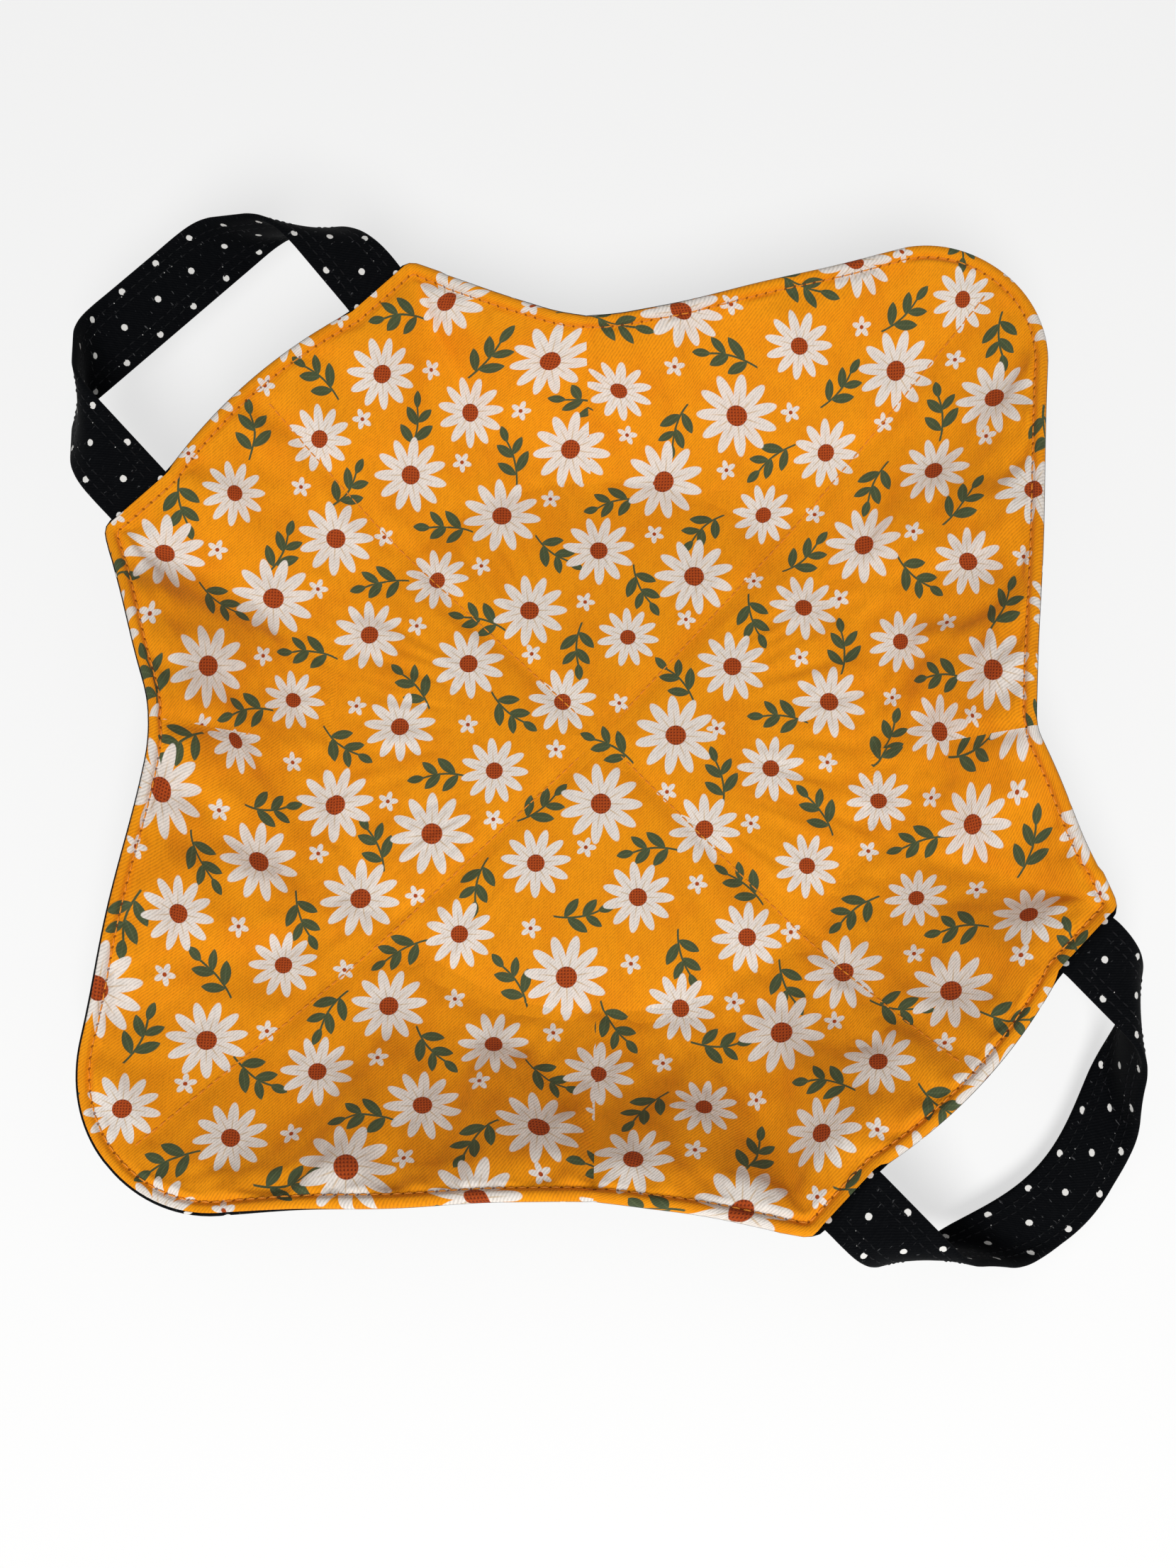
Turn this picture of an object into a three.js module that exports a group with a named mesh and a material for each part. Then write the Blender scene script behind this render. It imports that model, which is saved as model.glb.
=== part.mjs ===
import * as THREE from 'three';

// Driving dimensions in millimetres; +Z is up, +X points at one handle, +Y at a rounded corner
const FABRIC = 0.6; // one layer of quilting cotton with its interfacing
const GAP = 0.3; // air left between neighbouring pieces
const BATTING = 2.2; // one layer of cotton batting
const GROOVE = 1.0; // how far a quilting line pulls each face in
const GROOVE_REACH = 13; // half width of that groove at the handle edge
const FLOOR_RADIUS = 100; // flat round floor, also where the darts end
const RISE_POWER = 1.45; // bend of the wall between the floor and the rim
const ROOT_REACH = 169.5; // centre to the seam where a strap goes in
const EDGE_BULGE = 5.5; // the handle edge bows out between its two strap ends
const BEND_EASE = 3.5; // softening of the bend at each end of the handle edge
const NOTCH_REACH = { right: [146.5, 161], left: [143, 152] }; // centre to a dart, by side and rounded corner
const NOTCH_TURN = { right: [-3, 1], left: [-2.5, 1.5] }; // how far a dart lies off its diagonal, in degrees
const CORNER_REACH = 219; // centre to the tip of a rounded corner
const CORNER_RADIUS = [42, 47]; // rounding of those two corners
const CORNER_TURN = 51.5; // half of the turn of that rounding, in degrees
const CORNER_LEAN = [3, 1]; // how far each rounded corner lies off the Y axis, in degrees
const ROOT_Z = 47; // height of the seam at the handle edges, middle of the padding
const NOTCH_Z = 49; // the same at the darts
const CORNER_Z = [49, 46]; // the same at the two rounded corners
const STITCH_INSET = 4; // topstitching, from the finished edge
const BATTING_INSET = 9; // the batting stops here, clear of the seam allowance
const FULL_INSET = 16; // the padding reaches its full thickness here
const EDGE_SWELL = 0.4; // rise of the padding where the batting stops
const QUILTED_SWELL = 0.1; // the same where a quilting line ends
const THREAD_RADIUS = 0.3; // sewing thread
const THREAD_GAP = 0.15; // air under a thread
const STRAP_WIDTH = 25.4; // finished strap
const STRAP_SKIN = 0.5; // folded cotton of the strap
const STRAP_CORE = 0.4; // stiffener strip inside the strap
const STRAP_CENTRE = 57; // middle of the handle edge to the middle of a strap end
const HANDLE_SHIFT = { left: -4, right: -2 }; // how far each handle lies off the X axis
const STRAP_TAIL = 7.5; // length sewn into the seam
const TAIL_PROUD = 0.1; // how far that length stands out of the seam
const SLOT_ROOM = 0.5; // room on each side of a strap end in the seam
const SLOT_EASE = 4; // beside that room the seam closes over this length
const EDGE_EASE = 0.35; // how much thinner the strap is at its long edges
const ROW_INSETS = [4, 7]; // the two stitch rows, from the strap's long edge
const ROW_START = 3.5; // those rows start this far out of the seam
const FOLD_START = 14; // seam to the start of the soft corner fold, on the strap's middle line
const FOLD_RADIUS = 12; // radius of that fold's two quarter turns
const FOLD_DROP = 10; // straight drop between them
const GRIP_BOW = { left: 0, right: 14 }; // how far the grip bows outwards
const BOW_REACH = 62; // the bow fades out this far along the strap from the middle of the grip
const REST_ANGLE = { left: 26, right: -8 }; // a handle's lie above the horizontal, in degrees

// Sizes that follow from those
const STRAP_HALF = STRAP_SKIN + GAP + STRAP_CORE / 2;
const EDGE_HALF = STRAP_HALF + GAP + FABRIC;
const PAD_HALF = GAP / 2 + BATTING + GAP + FABRIC;
const FOLD_LENGTH = Math.PI * FOLD_RADIUS + FOLD_DROP;
const HALF_STRAP = FOLD_START + STRAP_CENTRE + FOLD_LENGTH / Math.SQRT2;
const THREAD_SEAT = THREAD_RADIUS + THREAD_GAP;
const CROSSING = 2 * THREAD_RADIUS + THREAD_GAP;
const rad = (deg) => (deg * Math.PI) / 180;

// Steps of the faceted surfaces
const ARC_STEPS = 3; // half of a rounded corner
const EDGE_STEPS = 3; // a straight stretch of the rim
const STRAP_STEPS = 24; // a strap from end to end
const LIP_TURNS = [22.5, 60, 90]; // shown face of the turned edge, in degrees round its lip
const LIP_RETURNS = [90, 45]; // hidden face of the same
const PROBE = 0.4; // distance over which a slope is measured

// Rim outline seen from above, anticlockwise from +X
function handleEdge(y) {
  const inner = STRAP_CENTRE - STRAP_WIDTH / 2;
  const t = Math.min(1, Math.abs(y) / inner);
  return ROOT_REACH + EDGE_BULGE * (1 - t * t);
}

// The points between two ends of a straight stretch, with its far end
function stretch(from, to) {
  const points = [];
  for (let i = 1; i <= EDGE_STEPS; i += 1) {
    const t = i / EDGE_STEPS;
    const x = from.x + (to.x - from.x) * t;
    const y = from.y + (to.y - from.y) * t;
    points.push({ x, y, z: from.z + (to.z - from.z) * t });
  }
  return points;
}

// One quarter of the rim, from the middle of a handle edge to the tip of a rounded corner
function quarter(corner, sign) {
  const side = sign > 0 ? 'right' : 'left';
  const shift = corner === 0 ? HANDLE_SHIFT[side] : -HANDLE_SHIFT[side];
  const inner = STRAP_CENTRE - STRAP_WIDTH / 2 - SLOT_ROOM;
  const outer = STRAP_CENTRE + STRAP_WIDTH / 2 + SLOT_ROOM;
  const shut = inner - SLOT_EASE;
  const points = [0, GROOVE_REACH, (GROOVE_REACH + shut) / 2, shut].map((y) => ({ y, axis: y === 0 }));
  points.push(...[inner, STRAP_CENTRE, outer].map((y) => ({ y, open: true })));
  points.forEach((p) => Object.assign(p, { x: handleEdge(p.y), y: p.y + shift, z: ROOT_Z }));

  const turn = Math.PI / 4 + rad(NOTCH_TURN[side][corner]);
  const reach = NOTCH_REACH[side][corner];
  const notch = { x: reach * Math.cos(turn), y: reach * Math.sin(turn), z: NOTCH_Z };
  const last = points[points.length - 1];
  const bend = { x: ROOT_REACH, y: last.y + BEND_EASE };
  const share = BEND_EASE / Math.hypot(notch.x - bend.x, notch.y - bend.y);
  const end = { x: bend.x + (notch.x - bend.x) * share, y: bend.y + (notch.y - bend.y) * share, z: ROOT_Z };
  points.push({ x: (last.x + 2 * bend.x + end.x) / 4, y: (last.y + 2 * bend.y + end.y) / 4, z: ROOT_Z });
  points.push(end, ...stretch(end, notch));

  const lean = rad(CORNER_LEAN[corner] * sign);
  const radius = CORNER_RADIUS[corner];
  const arcX = -Math.sin(lean) * (CORNER_REACH - radius);
  const arcY = Math.cos(lean) * (CORNER_REACH - radius);
  const arc = [];
  for (let i = ARC_STEPS; i >= 0; i -= 1) {
    const a = rad(CORNER_TURN) * (i / ARC_STEPS) - lean;
    const x = arcX + radius * Math.sin(a);
    const y = arcY + radius * Math.cos(a);
    arc.push({ x, y, z: CORNER_Z[corner], axis: i === 0 });
  }
  points.push(...stretch(notch, arc[0]), ...arc.slice(1));
  return points.map((p) => ({ ...p, x: p.x * sign }));
}

function outline() {
  const upper = [...quarter(0, 1), ...quarter(0, -1).reverse().slice(1)];
  const lower = [...quarter(1, 1), ...quarter(1, -1).reverse().slice(1)];
  const below = lower.map((p) => ({ ...p, y: -p.y })).reverse();
  return [...upper, ...below.slice(1, -1)];
}

const RIM = outline();
RIM.forEach((p, k) => {
  const a = RIM[(k + RIM.length - 1) % RIM.length];
  const b = RIM[(k + 1) % RIM.length];
  const span = Math.hypot(b.x - a.x, b.y - a.y);
  p.reach = Math.hypot(p.x, p.y);
  p.rx = p.x / p.reach;
  p.ry = p.y / p.reach;
  const facing = (p.rx * (b.y - a.y) - p.ry * (b.x - a.x)) / span;
  const slope = (RISE_POWER * (p.z - PAD_HALF)) / (p.reach - FLOOR_RADIUS) / facing;
  p.inset = 1 / (facing * Math.hypot(1, slope));
});

// Middle surface of the padding: a flat round floor, then a wall that bends up to the rim
function bowl(x, y) {
  const r = Math.hypot(x, y);
  if (r <= FLOOR_RADIUS) return PAD_HALF;
  for (let k = 0; k < RIM.length; k += 1) {
    const a = RIM[k];
    const b = RIM[(k + 1) % RIM.length];
    const fromA = a.x * y - a.y * x;
    const toB = x * b.y - y * b.x;
    if (fromA < -1e-9 || toB < -1e-9 || a.x * x + a.y * y < 0) continue;
    const t = fromA / (fromA + toB);
    const reach = Math.hypot(a.x + (b.x - a.x) * t, a.y + (b.y - a.y) * t);
    const height = a.z + (b.z - a.z) * t - PAD_HALF;
    const u = (r - FLOOR_RADIUS) / (reach - FLOOR_RADIUS);
    if (u <= 1) return PAD_HALF + height * u ** RISE_POWER;
    return PAD_HALF + height * (1 + RISE_POWER * (u - 1));
  }
  throw new Error('no rim in this direction');
}

// A point of that surface, moved along its normal
function lift(x, y, offset) {
  const fallX = bowl(x - PROBE, y) - bowl(x + PROBE, y);
  const fallY = bowl(x, y - PROBE) - bowl(x, y + PROBE);
  const normal = new THREE.Vector3(fallX, fallY, 2 * PROBE).normalize();
  return normal.multiplyScalar(offset).add(new THREE.Vector3(x, y, bowl(x, y)));
}

// A place on the pad: on the ray of rim point k, by radius, by share of the wall or by inset from the edge
function place(k, at) {
  const p = RIM[k];
  let r = at.radius ?? 0;
  if (at.wall !== undefined) r = FLOOR_RADIUS + at.wall * (p.reach - FLOOR_RADIUS);
  if (at.inset !== undefined) r = p.reach - at.inset * p.inset;
  return [p.rx * r, p.ry * r];
}

function padRing(at, offset, returning = false) {
  const ring = RIM.map((p, k) => lift(...place(k, at), typeof offset === 'function' ? offset(p) : offset));
  ring.returning = returning;
  return ring;
}

// Closed solids built from rings of points
function solid(name, points, triangles, finish) {
  let volume = 0;
  for (const [a, b, c] of triangles) {
    volume += points[a].dot(new THREE.Vector3().crossVectors(points[b], points[c]));
  }
  const index = triangles.flatMap(([a, b, c]) => (volume > 0 ? [a, b, c] : [a, c, b]));
  const geometry = new THREE.BufferGeometry();
  const xyz = new Float32Array(points.flatMap((p) => [p.x, p.y, p.z]));
  geometry.setAttribute('position', new THREE.BufferAttribute(xyz, 3));
  geometry.setIndex(index);
  geometry.computeVertexNormals();
  const mesh = new THREE.Mesh(geometry, new THREE.MeshStandardMaterial({ ...finish, metalness: 0 }));
  mesh.name = name;
  return mesh;
}

// Quads between two rings, each cut along one of its diagonals
function band(triangles, a, b, count, crossed = () => false) {
  for (let i = 0; i < count; i += 1) {
    const j = (i + 1) % count;
    if (crossed(i)) triangles.push([a + i, a + j, b + i], [a + j, b + j, b + i]);
    else triangles.push([a + i, a + j, b + j], [a + i, b + j, b + i]);
  }
}

// A skin through rings that go out to an edge and come back, closed by a point at both ends
function disc(name, first, rings, last, finish) {
  const count = rings[0].length;
  const points = [first, ...rings.flat(), last];
  const triangles = [];
  for (let i = 0; i < count; i += 1) {
    const j = (i + 1) % count;
    const end = 1 + (rings.length - 1) * count;
    triangles.push([0, 1 + j, 1 + i], [points.length - 1, end + i, end + j]);
  }
  for (let n = 0; n + 1 < rings.length; n += 1) {
    band(triangles, 1 + n * count, 1 + (n + 1) * count, count, () => rings[n].returning);
  }
  return solid(name, points, triangles, finish);
}

// Both faces of a flat bar are cut along the same diagonals, which follow the folds of a strap
const cutAlike = (n, last, count) => (i) => n < last / 2 === i < count / 2;

// A bar through sections that are closed loops of points: a triangle, or a top row and a bottom row
function bar(name, sections, finish, closed = false) {
  const count = sections[0].length;
  const last = (sections.length - 1) * count;
  const triangles = [];
  for (let n = 0; n < last; n += count) band(triangles, n, n + count, count, cutAlike(n, last, count));
  if (closed) band(triangles, last, 0, count);
  else if (count === 3) triangles.push([1, 0, 2], [last, last + 1, last + 2]);
  else capRows(triangles, count, last);
  return solid(name, sections.flat(), triangles, finish);
}

// Flat ends of a bar whose sections are two rows
function capRows(triangles, count, last) {
  for (let j = 0; j + 1 < count / 2; j += 1) {
    const k = count - 1 - j;
    triangles.push([j + 1, j, k], [j + 1, k, k - 1]);
    triangles.push([last + j, last + j + 1, last + k], [last + j + 1, last + k - 1, last + k]);
  }
}

// A flat sleeve: outer sections with a matching bore, open at both ends
function sleeve(name, outer, bore, finish) {
  const count = outer[0].length;
  const base = outer.length * count;
  const last = base - count;
  const triangles = [];
  for (let n = 0; n < last; n += count) {
    const crossed = cutAlike(n, last, count);
    band(triangles, n, n + count, count, crossed);
    band(triangles, base + n + count, base + n, count, (i) => !crossed(i));
  }
  band(triangles, base, 0, count);
  band(triangles, last, base + last, count);
  return solid(name, [...outer.flat(), ...bore.flat()], triangles, finish);
}

// Thread laid along a path: a slim three-sided bar with one flat towards the cloth
function thread(name, path, normals, finish, closed = false) {
  const sections = path.map((p, i) => {
    const a = path[closed ? (i + path.length - 1) % path.length : Math.max(0, i - 1)];
    const b = path[closed ? (i + 1) % path.length : Math.min(path.length - 1, i + 1)];
    const along = new THREE.Vector3().subVectors(b, a).normalize();
    const up = normals[i].clone().multiplyScalar(THREAD_RADIUS);
    const out = new THREE.Vector3().crossVectors(along, normals[i]).setLength(THREAD_RADIUS);
    const foot = p.clone().sub(up);
    return [p.clone().add(up), foot.clone().add(out), foot.clone().sub(out)];
  });
  return bar(name, sections, finish, closed);
}

// Finishes
const LINING_COTTON = { color: 0xe8920f, roughness: 0.9 };
const OUTER_COTTON = { color: 0x14161a, roughness: 0.9 };
const WADDING = { color: 0xf1ead9, roughness: 1 };
const ORANGE_THREAD = { color: 0xe57f0a, roughness: 0.7 };
const BLACK_THREAD = { color: 0x1b1d21, roughness: 0.7 };

// Padding: lining and outer cotton turned in at the rim, with a batting layer behind each
const FLOOR_AND_WALL = [{ radius: FLOOR_RADIUS / 2 }, { radius: FLOOR_RADIUS }, { wall: 1 / 3 }, { wall: 2 / 3 }];
const fullFace = (p) => PAD_HALF - (p.axis ? GROOVE : 0);
const nearEdge = (p) => EDGE_HALF + (p.axis ? QUILTED_SWELL : EDGE_SWELL);

// One ring of the turned edge: it rounds over to the seam, or stays open where a strap goes in
function lip(side, degrees, depth) {
  const a = rad(degrees);
  const inset = depth + (EDGE_HALF - depth) * (1 - Math.sin(a));
  const closed = GAP / 2 + (EDGE_HALF - depth - GAP / 2) * Math.cos(a);
  const open = EDGE_HALF - Math.max(depth, (FABRIC / 2) * (1 - Math.cos(a)));
  return padRing({ inset }, (p) => side * (p.open ? open : closed), depth > 0);
}

function panel(name, side, finish) {
  const shown = (f) => (p) => side * f(p);
  const hidden = (f) => (p) => side * (f(p) - FABRIC);
  const rings = FLOOR_AND_WALL.map((at) => padRing(at, shown(fullFace)));
  rings.push(padRing({ inset: FULL_INSET }, shown(fullFace)));
  rings.push(padRing({ inset: BATTING_INSET }, shown(nearEdge)));
  rings.push(padRing({ inset: STITCH_INSET }, side * EDGE_HALF));
  rings.push(...LIP_TURNS.map((degrees) => lip(side, degrees, 0)));
  rings.push(...LIP_RETURNS.map((degrees) => lip(side, degrees, FABRIC)));
  rings.push(padRing({ inset: STITCH_INSET }, side * (EDGE_HALF - FABRIC), true));
  rings.push(padRing({ inset: BATTING_INSET }, hidden(nearEdge), true));
  rings.push(padRing({ inset: FULL_INSET }, hidden(fullFace), true));
  for (const at of FLOOR_AND_WALL.slice(1).reverse()) rings.push(padRing(at, hidden(fullFace), true));
  const middle = PAD_HALF - GROOVE - CROSSING;
  return disc(name, lift(0, 0, side * middle), rings, lift(0, 0, side * (middle - FABRIC)), finish);
}

function batting(name, side) {
  const under = (f) => (p) => side * (f(p) - FABRIC - GAP);
  const stations = [...FLOOR_AND_WALL.slice(1), { inset: FULL_INSET }];
  const rings = stations.map((at) => padRing(at, under(fullFace)));
  rings.push(padRing({ inset: BATTING_INSET }, under(nearEdge)));
  rings.push(padRing({ inset: BATTING_INSET }, (side * GAP) / 2, true));
  for (const at of stations.slice().reverse()) rings.push(padRing(at, (side * GAP) / 2, true));
  const middle = PAD_HALF - GROOVE - CROSSING - FABRIC - GAP;
  return disc(name, lift(0, 0, side * middle), rings, lift(0, 0, (side * GAP) / 2), WADDING);
}

// Stitching on the padding
function edgeStitching(name, side, finish) {
  const seat = padRing({ inset: STITCH_INSET }, side * EDGE_HALF);
  const path = padRing({ inset: STITCH_INSET }, side * (EDGE_HALF + THREAD_SEAT));
  const normals = path.map((p, i) => new THREE.Vector3().subVectors(p, seat[i]).normalize());
  return thread(name, path, normals, finish, true);
}

function quilting(name, side, from, to, sunk, finish) {
  const stations = [{ inset: BATTING_INSET }, { inset: FULL_INSET }, ...FLOOR_AND_WALL.slice().reverse()];
  const path = [];
  const normals = [];
  const add = (x, y, offset) => {
    const p = lift(x, y, side * (offset + THREAD_SEAT));
    path.push(p);
    normals.push(new THREE.Vector3().subVectors(p, lift(x, y, side * offset)).normalize());
  };
  const face = (k, at) => (at.inset === BATTING_INSET ? nearEdge(RIM[k]) : fullFace(RIM[k]));
  for (const at of stations) add(...place(from, at), face(from, at));
  add(0, 0, PAD_HALF - GROOVE - sunk);
  for (const at of stations.slice().reverse()) add(...place(to, at), face(to, at));
  return thread(name, path, normals, finish);
}

// Straps: flat at the seam, then a soft fold at each corner that brings the grip out below the legs
const SEAM = (() => {
  const inside = new THREE.Vector2(ROOT_REACH - STRAP_TAIL, bowl(ROOT_REACH - STRAP_TAIL, STRAP_CENTRE));
  const root = new THREE.Vector2(ROOT_REACH, bowl(ROOT_REACH, STRAP_CENTRE));
  const along = root.clone().sub(inside).normalize();
  return { along, axis: root.clone().addScaledVector(along, TAIL_PROUD + GAP + STRAP_HALF) };
})();

// Middle surface of a strap with its normal, at a run from the grip's middle and a place across its width
function strapFrame(side, run, across) {
  const past = HALF_STRAP - Math.abs(run) - FOLD_START;
  const mirror = run > 0 ? -1 : 1;
  const overFold = (past + across) / Math.SQRT2;
  const alongFold = (past - across) / Math.SQRT2;
  const folded = Math.min(FOLD_LENGTH, Math.max(0, overFold));
  const dropped = Math.min(FOLD_DROP, Math.max(0, folded - (Math.PI / 2) * FOLD_RADIUS));
  const turn = (folded - dropped) / FOLD_RADIUS;
  const push = FOLD_RADIUS * Math.sin(turn) - Math.abs(overFold - folded);
  const fade = Math.max(0, 1 - Math.abs(run) / BOW_REACH);
  const bow = GRIP_BOW[side] * Math.sin((fade * Math.PI) / 2) ** 2;
  const point = new THREE.Vector3(
    FOLD_START + (alongFold + push) / Math.SQRT2 + bow,
    mirror * (STRAP_CENTRE + (push - alongFold) / Math.SQRT2),
    -FOLD_RADIUS * (1 - Math.cos(turn)) - dropped,
  );
  const tip = Math.sin(turn) / Math.SQRT2;
  return { point, normal: new THREE.Vector3(tip, mirror * tip, Math.cos(turn)) };
}

// The same in the part's frame, with the loop turned about the seam
function strapPoint(side, run, across, offset) {
  const { point, normal } = strapFrame(side, run, across);
  const p = point.addScaledVector(normal, offset);
  const tilt = rad(REST_ANGLE[side]);
  const out = SEAM.axis.x + p.x * Math.cos(tilt) - p.z * Math.sin(tilt);
  const up = SEAM.axis.y + p.x * Math.sin(tilt) + p.z * Math.cos(tilt);
  const flip = side === 'right' ? 1 : -1;
  return new THREE.Vector3(flip * out, flip * p.y + HANDLE_SHIFT[side], up);
}

// Places along the strap, counted from the middle of the grip, and how its ends round off at the seam
const RUNS = Array.from({ length: STRAP_STEPS + 1 }, (_, i) => HALF_STRAP * ((2 * i) / STRAP_STEPS - 1));
const ROUND_END = STRAP_HALF * Math.SQRT1_2;
const ROUNDED_END = { past: ROUND_END, squeeze: Math.SQRT1_2 };
const ROUNDED_BORE = { past: ROUND_END, squeeze: 1 };
const CORE_END = { past: ROUND_END - GAP, squeeze: 1 };

function strapSections(side, columns, halfOf, ends) {
  const section = (run, half, squeeze) => [
    ...columns.map((v) => strapPoint(side, run, v, half(v) * squeeze)),
    ...columns.map((v) => strapPoint(side, run, v, -half(v) * squeeze)).reverse(),
  ];
  const sections = RUNS.map((run) => section(run, halfOf, 1));
  const end = HALF_STRAP + ends.past;
  return [section(-end, halfOf, ends.squeeze), ...sections, section(end, halfOf, ends.squeeze)];
}

function strapRow(name, side, across, face) {
  const offset = face * (STRAP_HALF + THREAD_SEAT);
  const path = RUNS.map((run) => strapPoint(side, run, across, offset));
  const seat = RUNS.map((run) => strapPoint(side, run, across, 0));
  const normals = path.map((p, i) => new THREE.Vector3().subVectors(p, seat[i]).normalize());
  const share = ROW_START / (RUNS[1] - RUNS[0]);
  path[0].lerp(path[1], share);
  path[STRAP_STEPS].lerp(path[STRAP_STEPS - 1], share);
  return thread(name, path, normals, BLACK_THREAD);
}

function handle(side) {
  const group = new THREE.Group();
  group.name = `${side}_handle`;
  const half = STRAP_WIDTH / 2;
  const rows = ROW_INSETS.map((inset) => half - inset);
  const columns = (edge) => [-edge, -rows[0], -rows[1], 0, rows[1], rows[0], edge];
  const skin = (v) => (Math.abs(v) < half ? STRAP_HALF : STRAP_HALF - EDGE_EASE);
  const outer = strapSections(side, columns(half), skin, ROUNDED_END);
  const bore = strapSections(side, columns(half - 2 * STRAP_SKIN), () => STRAP_CORE / 2 + GAP, ROUNDED_BORE);
  group.add(sleeve(`${side}_strap_cover`, outer, bore, OUTER_COTTON));
  const coreEdge = half - 2 * STRAP_SKIN - GAP;
  const core = strapSections(side, columns(coreEdge), () => STRAP_CORE / 2, CORE_END);
  group.add(bar(`${side}_strap_core`, core, WADDING));
  const labels = ['inner_edge', 'inner', 'outer', 'outer_edge'];
  const lines = [-rows[0], -rows[1], rows[1], rows[0]];
  lines.forEach((v, i) => {
    group.add(strapRow(`${side}_strap_${labels[i]}_stitch`, side, v, 1));
    group.add(strapRow(`${side}_strap_${labels[i]}_bobbin`, side, v, -1));
  });
  return group;
}

// The strap ends sewn into the seam
function strapEnd(name, side, centre) {
  const half = STRAP_WIDTH / 2;
  const flip = side === 'right' ? 1 : -1;
  const insets = [-TAIL_PROUD, STRAP_TAIL / 3, (2 * STRAP_TAIL) / 3, STRAP_TAIL];
  const sections = insets.map((inset) => {
    const x = flip * (ROOT_REACH - inset * SEAM.along.x);
    const columns = [-half, 0, half].map((v) => [x, HANDLE_SHIFT[side] + centre + v]);
    return [
      ...columns.map(([cx, cy]) => lift(cx, cy, STRAP_HALF)),
      ...columns.map(([cx, cy]) => lift(cx, cy, -STRAP_HALF)).reverse(),
    ];
  });
  return bar(name, sections, OUTER_COTTON);
}

// Assembly
const carrier = new THREE.Group();
carrier.name = 'hot_dish_carrier';
carrier.add(panel('lining_panel', 1, LINING_COTTON));
carrier.add(batting('lining_batting', 1));
carrier.add(batting('outer_batting', -1));
carrier.add(panel('outer_panel', -1, OUTER_COTTON));
carrier.add(edgeStitching('edge_topstitch', 1, ORANGE_THREAD));
carrier.add(edgeStitching('edge_bobbin', -1, BLACK_THREAD));

const axes = RIM.flatMap((p, k) => (p.axis ? [k] : []));
carrier.add(quilting('lining_quilting_between_handles', 1, axes[2], axes[0], CROSSING, ORANGE_THREAD));
carrier.add(quilting('lining_quilting_between_corners', 1, axes[3], axes[1], 0, ORANGE_THREAD));
carrier.add(quilting('outer_quilting_between_handles', -1, axes[2], axes[0], CROSSING, BLACK_THREAD));
carrier.add(quilting('outer_quilting_between_corners', -1, axes[3], axes[1], 0, BLACK_THREAD));

for (const side of ['left', 'right']) {
  carrier.add(strapEnd(`${side}_strap_end_front`, side, -STRAP_CENTRE));
  carrier.add(strapEnd(`${side}_strap_end_back`, side, STRAP_CENTRE));
  carrier.add(handle(side));
}

export default carrier;
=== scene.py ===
# %% [markdown]
# # A quilted carrier for a hot dish
# The real object is a square of padded cotton. Two of its corners are rounded, two are cut off for the
# handles, and a dart in the middle of each side makes the flat square stand up as a bowl. This lesson dresses
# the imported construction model. Each sewn layer becomes a surface of its own, worked out with numpy from the
# carrier's sizes, and gets a cloth or thread finish made of shader nodes.

# %% Load the fixed frame
import math

import bpy
import numpy as np
from mathutils import Matrix


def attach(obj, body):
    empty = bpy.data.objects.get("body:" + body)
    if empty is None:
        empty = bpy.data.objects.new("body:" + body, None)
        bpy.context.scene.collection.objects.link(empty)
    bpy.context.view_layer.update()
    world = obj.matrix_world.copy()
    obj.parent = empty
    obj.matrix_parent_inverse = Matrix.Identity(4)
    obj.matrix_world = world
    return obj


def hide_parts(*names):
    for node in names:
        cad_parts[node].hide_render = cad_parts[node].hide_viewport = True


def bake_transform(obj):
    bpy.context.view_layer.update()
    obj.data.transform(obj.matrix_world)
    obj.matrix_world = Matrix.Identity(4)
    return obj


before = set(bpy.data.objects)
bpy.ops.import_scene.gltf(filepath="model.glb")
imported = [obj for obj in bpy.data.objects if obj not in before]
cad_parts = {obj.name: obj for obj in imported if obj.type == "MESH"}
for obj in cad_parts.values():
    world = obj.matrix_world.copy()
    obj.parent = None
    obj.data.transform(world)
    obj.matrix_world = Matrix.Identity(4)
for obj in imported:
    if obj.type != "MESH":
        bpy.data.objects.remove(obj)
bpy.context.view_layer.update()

# %% [markdown]
# ## Camera
# The photograph looks down on the carrier, a little off the vertical, with the handles on one diagonal of the
# picture. Its focal length was found in pixels, so the lens follows from the picture's long side.
# The camera's own axes are built from the two viewing angles, which is easier to check than three rotations.

# %% Objects and their axes
def add_object(name, data):
    """Put a mesh, a lamp or a camera into the scene as an object at the origin."""
    made = bpy.data.objects.new(name, data)
    bpy.context.scene.collection.objects.link(made)
    return made


def set_axes(viewer, right, up, back, place):
    """Give a camera or a lamp its own axes, and its place in metres."""
    axes = np.eye(4)
    axes[:3, :] = np.stack([right, up, back, place], axis=1)
    viewer.matrix_world = Matrix(axes.tolist())

# %% Camera at the photograph's angle
MM = 0.001  # every size below is in millimetres, and Blender's unit is the metre
PHOTO_SIZE = (1659, 2212)
FOCAL_PIXELS = 2013
SENSOR = 36
AZIMUTH = math.radians(45)
ELEVATION = math.radians(77.5)
DISTANCE = 532  # from the carrier's origin, along the view
AIM = (-4.9, -16.4)  # middle of the picture, right of and above the origin

picture_right = np.array([math.cos(AZIMUTH), math.sin(AZIMUTH), 0])
backwards = np.array([
    math.sin(AZIMUTH) * math.cos(ELEVATION),
    -math.cos(AZIMUTH) * math.cos(ELEVATION),
    math.sin(ELEVATION),
])
picture_up = np.cross(backwards, picture_right)
standpoint = AIM[0] * picture_right + AIM[1] * picture_up + DISTANCE * backwards

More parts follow.
